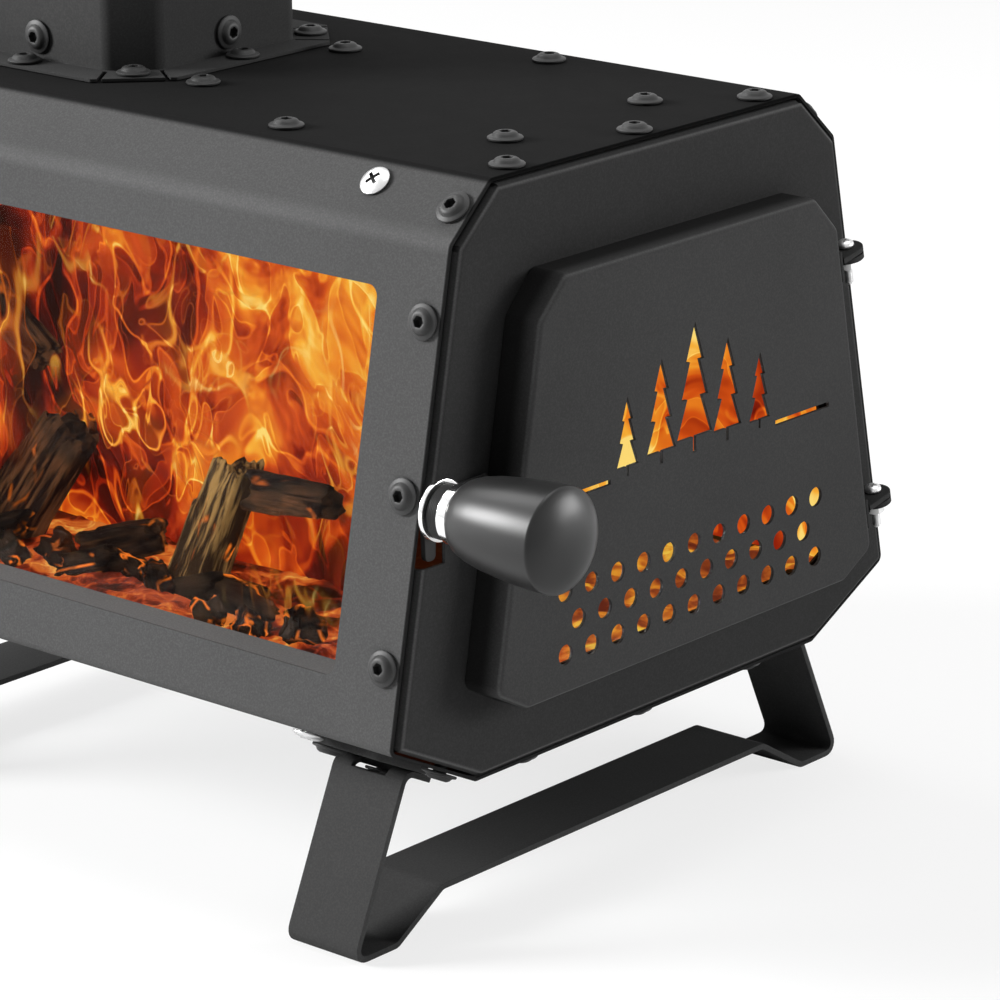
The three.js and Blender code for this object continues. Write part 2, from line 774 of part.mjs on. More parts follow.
const baffleTop = bodyHeight - sheet - seatGap;
const baffleFloor = baffleTop - baffleDrop;
const baffleTo = -plateFlange - baffleEndGap;
const baffleFrom = flueX + flueHalf + flueFlange;
const baffleLength = baffleTo - baffleFrom;
const baffleMiddle = (baffleTo + baffleFrom) / 2;
const baffleReach = baffleLength / 2 - baffleTabInset;
const baffleSpots = [
  [baffleReach, baffleTabSpread],
  [baffleReach, -baffleTabSpread],
  [-baffleReach, baffleTabSpread],
  [-baffleReach, -baffleTabSpread],
  [0, baffleSideSpread],
  [0, -baffleSideSpread],
];
const bafflePieces = [box(
  -baffleLength / 2, baffleLength / 2,
  -baffleHalf, baffleHalf,
  baffleFloor, baffleFloor + baffleThickness,
)];
baffleSpots.forEach(([x, y]) => {
  const half = baffleTab / 2;
  const edge = x === 0 ? Math.sign(y) * half : Math.sign(x) * half;
  const [low, high] = [edge, edge * 1.2].sort((a, b) => a - b);
  const web = x === 0
    ? box(x - half, x + half, y + low, y + high, baffleFloor, baffleTop)
    : box(x + low, x + high, y - half, y + half, baffleFloor, baffleTop);
  bafflePieces.push(web);
  bafflePieces.push(box(x - half, x + half, y - half, y + half, baffleTop - baffleThickness, baffleTop));
});
const baffleScrewPlaces = {
  door_end: new THREE.Matrix4().makeTranslation(baffleMiddle + baffleReach, -baffleTabSpread, bodyHeight),
  flue_end: new THREE.Matrix4().makeTranslation(baffleMiddle - baffleReach, baffleTabSpread, bodyHeight),
};
Object.entries(baffleScrewPlaces).forEach(([spot, placement]) => addScrew(`baffle_screw_${spot}`, placement));
const baffleGeometry = join(bafflePieces).translate(baffleMiddle, 0, 0);
add('top_baffle', cut(baffleGeometry, holeCutters), darkSteel);

// ---- shell -------------------------------------------------------------------------------

const shellHollow = alongX(rounded(inset(shellOutline, sheet), bendRadius - sheet), -bodyLength - 1, 1);
const windowCutter = alongZ(windowOutline(0), -10, 10).applyMatrix4(windowPlace);
const flueCutter = alongZ(circle(flueHole, 24), -10, 10).translate(flueX, 0, bodyHeight);
const shellGeometry = cut(
  alongX(rounded(shellOutline, bendRadius), -bodyLength, 0),
  [shellHollow, windowCutter, flueCutter, ...holeCutters],
);
add('body_shell', shellGeometry, shellPaint);

// ---- door --------------------------------------------------------------------------------

const doorGroup = new THREE.Group();
stove.add(doorGroup);
const doorRim = plateProud + doorFaceGap;
const doorFace = plateProud + doorDepth;

function doorRing(x, distance) {
  return { x, outline: rounded(inset(doorOutline, distance), Math.max(doorBend - distance, 0.6)) };
}

// a conifer cut-out: three tiers over a short trunk
function treeOutline(height) {
  const half = height * treeWidthShare * 0.5;
  const right = [
    [0.09 * half, 0],
    [0.09 * half, 0.12 * height],
    [half, 0.12 * height],
    [0.42 * half, 0.42 * height],
    [0.74 * half, 0.42 * height],
    [0.28 * half, 0.7 * height],
    [0.5 * half, 0.7 * height],
  ];
  const left = right.map(([x, y]) => [-x, y]).reverse();
  return [...right, [0, height], ...left].map(([x, y]) => new THREE.Vector2(x, y));
}

const faceCutters = [];
const cutFrom = doorFace - doorBend;
const cutTo = doorFace + 1;
ventRowCounts.forEach((count, row) => {
  for (let index = 0; index < count; index += 1) {
    const y = doorOffset + (index - (count - 1) / 2) * ventPitch;
    const middle = new THREE.Vector2(y, ventRowTop - row * ventRowPitch);
    const outline = circle(ventRadius, 10).map((point) => point.add(middle));
    faceCutters.push(alongX(outline, cutFrom, cutTo));
  }
});
treeHeights.forEach((height, index) => {
  const y = doorOffset + (index - (treeHeights.length - 1) / 2) * treePitch;
  const outline = treeOutline(height).map((point) => point.add(new THREE.Vector2(y, treeBase)));
  faceCutters.push(alongX(outline, cutFrom, cutTo));
});
[-1, 1].forEach((side) => {
  const reach = (treeHeights.length / 2) * treePitch + groundSlotLength / 2;
  const slot = rectangle(groundSlotLength, groundSlotHeight, groundSlotHeight / 2 - 0.05, 3);
  const placed = slot.map((point) => point.add(new THREE.Vector2(doorOffset + side * reach, treeBase)));
  faceCutters.push(alongX(placed, cutFrom, cutTo));
});

const panSolid = lofted([
  doorRing(doorRim, 0),
  doorRing(doorFace - doorBend, 0),
  doorRing(doorFace - doorBend * 0.3, doorBend * 0.3),
  doorRing(doorFace, doorBend),
]);
const panHollow = lofted([
  doorRing(doorRim - 1, sheet),
  doorRing(doorFace - doorBend, sheet),
  doorRing(doorFace - sheet, doorBend),
]);
add('door_pan', cut(panSolid, [panHollow, ...faceCutters]), doorPaint, undefined, doorGroup);

// half width of the door pan's own wall at a height between its hip and shoulder
function doorHalfWidth(height) {
  return doorHipHalf + ((doorShoulderHalf - doorHipHalf) * (height - doorHip)) / (doorShoulder - doorHip);
}

const doorSlope = Math.atan2(doorHipHalf - doorShoulderHalf, doorShoulder - doorHip);

// ---- hinge -------------------------------------------------------------------------------

// frame at a hinge: X straight out of the plate, Z up the pin, which follows the shell's slope
const hingeX = plateProud + hingeProud;
function hingeFrame(height) {
  const tilt = new THREE.Matrix4().makeRotationX(sideSlope);
  return tilt.setPosition(hingeX, sideHalfWidth(height) - hingeInset, height);
}

const pinHole = circle(hingeBoltRadius + holeClearance, 10);
const tabPitch = hingeTab + seatGap;
const tabEnd = (reach) => {
  const arc = [];
  for (let step = 0; step <= 6; step += 1) {
    const angle = -Math.PI / 2 + (Math.PI * step) / 6;
    arc.push(new THREE.Vector2(hingeTabRadius * Math.cos(angle), hingeTabRadius * Math.sin(angle)));
  }
  return [new THREE.Vector2(-reach, -hingeTabRadius), ...arc, new THREE.Vector2(-reach, hingeTabRadius)];
};

hingeHeights.forEach((height, index) => {
  const level = ['lower', 'upper'][index];
  const frame = hingeFrame(height);
  const reach = hingeProud - seatGap;
  const baseLow = -tabPitch - hingeBaseHeight;
  const fixedLeaf = join([
    alongZ(tabEnd(reach), -tabPitch - hingeTab, -tabPitch, [pinHole]),
    box(-reach, -reach + hingeBaseThickness, -hingeTabRadius, hingeTabRadius, baseLow, -tabPitch),
  ]);
  add(`hinge_leaf_plate_${level}`, fixedLeaf, doorPaint, frame);

  // the wall of this leaf lies along the side of the door pan, whose slope differs a little
  const wallGap = sideHalfWidth(height) - hingeInset - doorOffset - doorHalfWidth(height);
  const lean = Math.tan(sideSlope - doorSlope);
  const leafInner = (rise) => (
    seatGap - wallGap * Math.cos(sideSlope) + (rise - wallGap * Math.sin(sideSlope)) * lean
  );
  const leafOuter = (rise) => leafInner(rise) + hingeBaseThickness;
  const leafCorners = [
    [leafInner(-hingeLeafDrop), -hingeLeafDrop],
    [leafOuter(-hingeLeafDrop), -hingeLeafDrop],
    [leafOuter(hingeLeafRise), hingeLeafRise],
    [leafInner(hingeLeafRise), hingeLeafRise],
  ].map(([y, z]) => new THREE.Vector2(y, z));
  const leafWall = alongX(leafCorners, -hingeTabRadius, hingeTabRadius);
  const tabReach = -leafInner(0) - hingeBaseThickness / 2;
  const doorTab = alongZ(tabEnd(tabReach), -hingeTab, 0, [pinHole]).rotateZ(Math.PI / 2);
  add(`hinge_leaf_door_${level}`, join([doorTab, leafWall]), doorPaint, frame, doorGroup);

  const bolt = turned([
    [0, -hingeBoltLength],
    [hingeBoltRadius, -hingeBoltLength],
    [hingeBoltRadius, seatGap],
    [hingeHeadRadius, seatGap],
    [hingeHeadRadius, seatGap + 0.45 * hingeHeadHeight],
    [0.6 * hingeHeadRadius, seatGap + hingeHeadHeight],
    [0, seatGap + hingeHeadHeight],
  ]);
  add(`hinge_bolt_${level}`, bolt, zincPlate, frame);

  const nutTop = -tabPitch - hingeTab - seatGap;
  const nutBore = circle(hingeBoltRadius + 0.2, 12);
  const nut = alongZ(circle(hingeNutRadius, 6), nutTop - hingeNutHeight, nutTop, [nutBore]);
  add(`hinge_nut_${level}`, nut, zincPlate, frame);
});

// ---- latch and handle --------------------------------------------------------------------

const latchFront = doorRim + latchTabThickness;
const panWallY = doorOffset - doorHalfWidth(handleHeight);
const handleAxis = new THREE.Vector2(handleY, handleHeight);
const latchTabOutline = (() => {
  const arc = [];
  for (let step = 0; step <= 8; step += 1) {
    const angle = Math.PI / 2 + (Math.PI * step) / 8;
    arc.push(new THREE.Vector2(latchTabRadius * Math.cos(angle), latchTabRadius * Math.sin(angle)));
  }
  const gap = seatGap + 0.3;
  const wallAt = (rise) => panWallY - handleY + rise * Math.tan(doorSlope) - gap;
  const corners = [-latchTabRadius, latchTabRadius].map((rise) => new THREE.Vector2(wallAt(rise), rise));
  return [...corners, ...arc].map((point) => point.add(handleAxis));
})();
const studHole = circle(latchStudRadius + holeClearance, 12).map((point) => point.add(handleAxis));
const upstandOuter = latchTabOutline.slice(0, 2);
const upstandInner = upstandOuter.map((point) => point.clone().sub(new THREE.Vector2(1.6, 0))).reverse();
const latchTab = join([
  alongX(latchTabOutline, doorRim, latchFront, [studHole]),
  alongX([...upstandOuter, ...upstandInner], doorRim, doorFace - doorBend - 2),
]);
add('latch_tab', latchTab, doorPaint, undefined, doorGroup);

const handleGroup = new THREE.Group();
handleGroup.position.set(0, handleY, handleHeight);
doorGroup.add(handleGroup);
const turnedOnX = (profile, segments) => turned(profile, segments).rotateY(Math.PI / 2);
const bush = (fromX, toX, radius, bore, segments = 16) => turnedOnX([
  [bore, fromX],
  [radius, fromX],
  [radius, toX],
  [bore, toX],
  [bore, fromX],
], segments);

const camFront = plateInner - camGap;
const rearRingX = latchFront + seatGap;
const collarX = rearRingX + rearRingWidth + seatGap;
const frontRingX = collarX + collarWidth + seatGap;
const knobX = frontRingX + frontRingWidth + seatGap;
const stud = turnedOnX([
  [0, studEnd],
  [latchHubRadius, studEnd],
  [latchHubRadius, camBack - seatGap],
  [latchStudRadius, camBack - seatGap],
  [latchStudRadius, knobX + 0.6 * knobLength],
  [0, knobX + 0.6 * knobLength],
], 12);
add('handle_stud', stud, zincPlate, undefined, handleGroup);

const camBore = circle(latchStudRadius + holeClearance, 12);
const hubArc = [...Array(7)].map((item, step) => {
  const angle = (Math.PI * (step - 3)) / 6;
  return new THREE.Vector2(0, latchHubRadius).rotateAround(new THREE.Vector2(), angle);
});
const camOutline = [
  ...hubArc,
  new THREE.Vector2(-camHalfWidth, -camLength + camHalfWidth),
  new THREE.Vector2(-0.4 * camHalfWidth, -camLength),
  new THREE.Vector2(0.4 * camHalfWidth, -camLength),
  new THREE.Vector2(camHalfWidth, -camLength + camHalfWidth),
];
add('latch_cam', alongX(camOutline, camBack, camFront, [camBore]), zincPlate, undefined, handleGroup);

const bore = latchStudRadius + holeClearance;
const rearRing = bush(rearRingX, rearRingX + rearRingWidth, rearRingRadius, bore);
const collar = bush(collarX, collarX + collarWidth, collarRadius, bore, 12);
const frontRing = bush(frontRingX, frontRingX + frontRingWidth, frontRingRadius, bore);
add('handle_rear_ring', rearRing, brightChrome, undefined, handleGroup);
add('handle_collar', collar, screwBlack, undefined, handleGroup);
add('handle_front_ring', frontRing, brightChrome, undefined, handleGroup);

const knobProfile = [
  [bore, knobX],
  [knobBaseRadius, knobX],
  [0.7 * knobRadius, knobX + 0.05 * knobLength],
  [0.806 * knobRadius, knobX + 0.165 * knobLength],
  [0.874 * knobRadius, knobX + 0.3 * knobLength],
  [0.92 * knobRadius, knobX + 0.456 * knobLength],
  [0.977 * knobRadius, knobX + 0.71 * knobLength],
  [knobRadius, knobX + knobLength],
  [0.93 * knobRadius, knobX + knobLength + 0.24 * knobDome],
  [0.7 * knobRadius, knobX + knobLength + 0.66 * knobDome],
  [0.38 * knobRadius, knobX + knobLength + 0.92 * knobDome],
  [0, knobX + knobLength + knobDome],
  [0, knobX + 0.62 * knobLength],
  [bore, knobX + 0.62 * knobLength],
  [bore, knobX],
];
add('handle_knob', turnedOnX(knobProfile, 20), knobBlack, undefined, handleGroup);

// ---- stand the stove on the floor, centred on its own box --------------------------------

const part = new THREE.Group();
part.add(stove);
const extent = new THREE.Box3().setFromObject(stove, true);
const centre = extent.getCenter(new THREE.Vector3());
stove.position.set(-centre.x, -centre.y, -extent.min.z);

export default part;
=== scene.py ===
import math
import random

import bpy
from mathutils import Matrix, Vector


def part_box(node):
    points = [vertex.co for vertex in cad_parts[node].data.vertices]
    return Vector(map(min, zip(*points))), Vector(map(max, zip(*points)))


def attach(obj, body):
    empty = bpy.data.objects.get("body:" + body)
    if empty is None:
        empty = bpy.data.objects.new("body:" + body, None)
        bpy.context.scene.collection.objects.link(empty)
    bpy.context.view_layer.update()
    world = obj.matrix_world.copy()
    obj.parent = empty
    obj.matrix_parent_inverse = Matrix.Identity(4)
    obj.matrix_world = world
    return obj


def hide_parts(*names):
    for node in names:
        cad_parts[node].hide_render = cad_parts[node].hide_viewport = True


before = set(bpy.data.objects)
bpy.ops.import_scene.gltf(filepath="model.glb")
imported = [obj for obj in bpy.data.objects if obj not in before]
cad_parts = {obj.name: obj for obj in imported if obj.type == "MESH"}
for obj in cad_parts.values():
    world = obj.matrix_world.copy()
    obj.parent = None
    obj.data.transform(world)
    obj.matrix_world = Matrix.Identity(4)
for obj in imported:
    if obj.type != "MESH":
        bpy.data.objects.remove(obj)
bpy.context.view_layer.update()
random.seed(7)

shellLow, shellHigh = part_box('body_shell')
origin = Vector((shellHigh.x, 0, shellLow.z))  # door end of the shell, at its underside


def deselectAll():
    active = bpy.context.view_layer.objects.active
    if active and active.mode != 'OBJECT':
        bpy.ops.object.mode_set(mode='OBJECT')
    bpy.ops.object.select_all(action='DESELECT')


def activate(piece):
    deselectAll()
    piece.select_set(True)
    bpy.context.view_layer.objects.active = piece
    return piece


def newest(name):
    piece = bpy.context.object
    piece.name = name
    piece.data.name = name
    return piece


def applyPlace(piece):
    activate(piece)
    bpy.ops.object.transform_apply(location=True, rotation=True, scale=True)
    return piece


def addBlock(name, low, high):
    deselectAll()
    bpy.ops.mesh.primitive_cube_add(size=1, location=[(a + b) / 2 for a, b in zip(low, high)])
    block = newest(name)
    block.scale = [b - a for a, b in zip(low, high)]
    return applyPlace(block)


def addCylinder(name, radius, low, high, sides=32):
    deselectAll()
    bpy.ops.mesh.primitive_cylinder_add(vertices=sides, radius=radius, depth=high - low,
                                        location=(0, 0, (low + high) / 2))
    return applyPlace(newest(name))


def place(piece, matrix):
    piece.matrix_world = matrix
    bpy.context.view_layer.update()
    return applyPlace(piece)


def moved(x=0, y=0, z=0):
    return Matrix.Translation((x, y, z))


def copyAs(piece, name, matrix):
    twin = piece.copy()
    twin.data = piece.data.copy()
    twin.name = name
    twin.data.name = name
    bpy.context.scene.collection.objects.link(twin)
    return place(twin, matrix)


def pick(piece, kind, test):
    # opens edit mode with just the elements that pass the test
    activate(piece)
    mesh = piece.data
    for group in (mesh.vertices, mesh.edges, mesh.polygons):
        group.foreach_set('select', [False] * len(group))
    items = {'VERT': mesh.vertices, 'EDGE': mesh.edges, 'FACE': mesh.polygons}[kind]
    for item in items:
        item.select = bool(test(item))
    bpy.context.tool_settings.mesh_select_mode = (kind == 'VERT', kind == 'EDGE', kind == 'FACE')
    bpy.ops.object.mode_set(mode='EDIT')


def editAll(piece):
    pick(piece, 'VERT', lambda item: True)


def leaveEdit():
    bpy.ops.object.mode_set(mode='OBJECT')


def edgeEnds(piece, edge):
    return [piece.data.vertices[i].co for i in edge.vertices]


def atLevel(piece, axis, level):
    # a test for edges or faces that lie wholly at one level
    return lambda item: all(abs(piece.data.vertices[i].co[axis] - level) < 1e-5 for i in item.vertices)


def acrossEnd(piece, axis, level, along):
    # a test for the edges at one end of a piece that run the given way
    sign = math.copysign(1, level)

    def test(edge):
        a, b = edgeEnds(piece, edge)
        return min(sign * a[axis], sign * b[axis]) > 0.99 * abs(level) and abs(a[along] - b[along]) > 0.001
    return test


def bevelWhere(piece, test, width, segments):
    pick(piece, 'EDGE', test)
    bpy.ops.mesh.bevel(offset=width, offset_type='OFFSET', segments=segments, profile=0.5,
                       affect='EDGES', clamp_overlap=False)
    leaveEdit()


def dropFaces(piece, test):
    pick(piece, 'FACE', test)
    bpy.ops.mesh.delete(type='FACE')
    leaveEdit()


def applyModifier(piece, kind, **settings):
    activate(piece)
    modifier = piece.modifiers.new(kind.lower(), kind)
    for key, value in settings.items():
        setattr(modifier, key, value)
    bpy.ops.object.modifier_apply(modifier=modifier.name)
    return piece


def soften(piece, width=0.00025, segments=2, angle=32):
    return applyModifier(piece, 'BEVEL', width=width, segments=segments, limit_method='ANGLE',
                         angle_limit=math.radians(angle), use_clamp_overlap=True, miter_outer='MITER_ARC')


def thicken(piece, thickness, offset=-1):
    return applyModifier(piece, 'SOLIDIFY', thickness=thickness, offset=offset, use_even_offset=True)


def carve(piece, cutter, operation='DIFFERENCE'):
    applyModifier(piece, 'BOOLEAN', object=cutter, operation=operation, solver='EXACT')
    bpy.data.objects.remove(cutter)
    return piece


def joined(pieces):
    first = activate(pieces[0])
    for other in pieces[1:]:
        other.select_set(True)
    bpy.ops.object.join()
    return first


def smoothShade(piece, angle=32):
    # the large flat faces decide how the small bends beside them are shaded
    activate(piece)
    bpy.ops.object.shade_smooth_by_angle(angle=math.radians(angle))
    return applyModifier(piece, 'WEIGHTED_NORMAL', keep_sharp=True)


def turn(name, profile, sides=48, loop=False):
    # rings of (radius, height) pulled up one after another, as on a lathe
    deselectAll()
    start = 1 if profile[0][0] == 0 else 0
    radius, height = profile[start]
    bpy.ops.mesh.primitive_circle_add(vertices=sides, radius=radius, location=(0, 0, height))
    piece = newest(name)
    applyPlace(piece)
    if start:
        editAll(piece)
        bpy.ops.mesh.edge_face_add()
        bpy.ops.mesh.poke()
        leaveEdit()
        pick(piece, 'VERT', lambda item: item.co.xy.length < 1e-6)
        bpy.ops.transform.translate(value=(0, 0, profile[0][1] - height))
        leaveEdit()
    editAll(piece)
    bpy.context.tool_settings.mesh_select_mode = (False, True, False)
    bpy.ops.mesh.select_all(action='SELECT')
    if start:
        bpy.ops.mesh.region_to_loop()
    for nextRadius, nextHeight in profile[start + 1:]:
        bpy.ops.mesh.extrude_edges_move(TRANSFORM_OT_translate={'value': (0, 0, nextHeight - height)})
        if nextRadius == 0:
            bpy.ops.mesh.merge(type='CENTER')
            break
        share = nextRadius / radius
        bpy.ops.transform.resize(value=(share, share, 1), center_override=(0, 0, nextHeight))
        radius, height = nextRadius, nextHeight
    if loop:
        bpy.ops.mesh.select_all(action='SELECT')
        bpy.ops.mesh.remove_doubles(threshold=1e-6)
    bpy.ops.mesh.select_all(action='SELECT')
    bpy.ops.mesh.normals_make_consistent(inside=False)
    leaveEdit()
    return piece


# flat outlines are lists of corners that run counter-clockwise
def mirroredCorners(rightSide):
    return rightSide + [(-a, b) for a, b in reversed(rightSide)]


def unit(a, b):
    length = math.hypot(a, b)
    return a / length, b / length


def insetCorners(corners, distance):
    result = []
    for index, (a, b) in enumerate(corners):
        pa, pb = corners[index - 1]
        na, nb = corners[(index + 1) % len(corners)]
        ia, ib = unit(a - pa, b - pb)
        oa, ob = unit(na - a, nb - b)
        wa, wb = unit(-ib - ob, ia + oa)
        reach = distance / (wa * -ib + wb * ia)
        result.append((a + wa * reach, b + wb * reach))
    return result


def turnAt(corners, index):
    a, b = corners[index]
    pa, pb = corners[index - 1]
    na, nb = corners[(index + 1) % len(corners)]
    return abs(math.remainder(math.atan2(nb - b, na - a) - math.atan2(b - pb, a - pa), 2 * math.pi))


def prism(name, corners, start, end, axis='X'):
    # a block larger than the outline, cut back by one plane for each side
    spare = 0.004
    reachA = max(abs(a) for a, b in corners) + spare
    lowB = min(b for a, b in corners) - spare
    highB = max(b for a, b in corners) + spare
    if axis == 'X':
        piece = addBlock(name, (start, -reachA, lowB), (end, reachA, highB))
    else:
        piece = addBlock(name, (-reachA, lowB, start), (reachA, highB, end))
    for index, (a, b) in enumerate(corners):
        na, nb = corners[(index + 1) % len(corners)]
        da, db = unit(na - a, nb - b)
        point, normal = ((0, a, b), (0, db, -da)) if axis == 'X' else ((a, b, 0), (db, -da, 0))
        editAll(piece)
        bpy.ops.mesh.bisect(plane_co=point, plane_no=normal, use_fill=True, clear_outer=True)
        leaveEdit()
    return piece


def roundBends(piece, corners, radius, segments=6, axis='X'):
    for index, (a, b) in enumerate(corners):
        def onCorner(edge):
            ends = [(co.y, co.z) if axis == 'X' else (co.x, co.y) for co in edgeEnds(piece, edge)]
            return all(math.hypot(ea - a, eb - b) < 0.0002 for ea, eb in ends)
        bevelWhere(piece, onCorner, radius * math.tan(turnAt(corners, index) / 2), segments)


def pressPan(name, corners, face, rim, radius, bend=0, axis='X', bendSegments=6, segments=6):
    # a flat face, with walls turned back from it as far as the rim
    pan = prism(name, corners, min(face, rim), max(face, rim), axis)
    if bend:
        roundBends(pan, corners, bend, bendSegments, axis)
    index = 'XYZ'.index(axis)
    bevelWhere(pan, atLevel(pan, index, face), radius, segments)
    dropFaces(pan, atLevel(pan, index, rim))
    return thicken(pan, shell['sheet'])


def bendStrip(name, path, start, end, radius, thickness, segments):
    # one edge across the strip, drawn out along the path, then bent and thickened
    deselectAll()
    bpy.ops.mesh.primitive_plane_add(size=1, location=((start + end) / 2, path[0][0], path[0][1] + 0.5),
                                     rotation=(math.pi / 2, 0, 0))
    strip = newest(name)
    strip.scale = (end - start, 1, 1)
    applyPlace(strip)
    pick(strip, 'VERT', lambda item: item.co.z > path[0][1] + 0.5)
    bpy.ops.mesh.delete(type='VERT')
    leaveEdit()
    pick(strip, 'EDGE', lambda item: True)
    for (ay, az), (by, bz) in zip(path, path[1:]):
        bpy.ops.mesh.extrude_edges_move(TRANSFORM_OT_translate={'value': (0, by - ay, bz - az)})
    leaveEdit()
    for index in range(1, len(path) - 1):
        y, z = path[index]

        def atBend(edge):
            return all(math.hypot(co.y - y, co.z - z) < 0.0003 for co in edgeEnds(strip, edge))
        bevelWhere(strip, atBend, radius * math.tan(turnAt(path, index) / 2), segments)
    editAll(strip)
    bpy.ops.mesh.normals_make_consistent(inside=False)
    leaveEdit()
    return thicken(strip, thickness, 0)


shell = {
    'length': 0.330,
    'height': 0.200,
    'topHalf': 0.0797,
    'shoulderHalf': 0.0995,
    'shoulder': 0.1819,
    'hipHalf': 0.1313,
    'hip': 0.0205,
    'bottomHalf': 0.0903,
    'sheet': 0.0012,
    'bend': 0.003,
    'gap': 0.0003,
    'edge': 0.0002,
}
shellCorners = mirroredCorners([
    (shell['bottomHalf'], 0),
    (shell['hipHalf'], shell['hip']),
    (shell['shoulderHalf'], shell['shoulder']),
    (shell['topHalf'], shell['height']),
])
faceStart = {'backHip': 0, 'backSide': 1, 'backShoulder': 2, 'top': 3,
             'windowShoulder': 4, 'windowSide': 5, 'windowHip': 6, 'bottom': 7}


def onFace(face, x=0, up=0, out=0):
    # X along the shell, Y up the face, Z straight out of it
    index = faceStart[face]
    (ay, az), (by, bz) = shellCorners[index], shellCorners[(index + 1) % 8]
    dy, dz = unit(by - ay, bz - az)
    upward = Vector((0, -dy, -dz))
    outward = Vector((0, dz, -dy))
    middle = Vector((x, (ay + by) / 2, (az + bz) / 2)) + upward * up + outward * out
    matrix = Matrix((Vector((1, 0, 0)), upward, outward)).transposed().to_4x4()
    matrix.translation = middle
    return matrix


def sideHalf(height):
    share = (height - shell['hip']) / (shell['shoulder'] - shell['hip'])
    return shell['hipHalf'] + (shell['shoulderHalf'] - shell['hipHalf']) * share


alongX = Matrix.Rotation(math.pi / 2, 4, 'Y')
sideSlope = math.atan2(shell['hipHalf'] - shell['shoulderHalf'], shell['shoulder'] - shell['hip'])


def settle(piece, material, body='root', replaces=None):
    # from the shell's own zero point into the frame, then onto its body
    place(piece, moved(*origin))
    if len(piece.data.materials) > 1:
        piece.data.materials[0] = material
    else:
        piece.data.materials.clear()
        piece.data.materials.append(material)
    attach(piece, body)
    if replaces:
        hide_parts(replaces)
    return piece


class Signal:
    def __init__(self, board, socket):
        self.board = board
        self.socket = socket

    def __add__(self, other):
        return self.board.maths('ADD', self, other)

    __radd__ = __add__

    def __sub__(self, other):
        return self.board.maths('SUBTRACT', self, other)

    def __rsub__(self, other):
        return self.board.maths('SUBTRACT', other, self)

    def __mul__(self, other):
        return self.board.maths('MULTIPLY', self, other)

    __rmul__ = __mul__

    def __abs__(self):
        return self.board.maths('ABSOLUTE', self, 0)


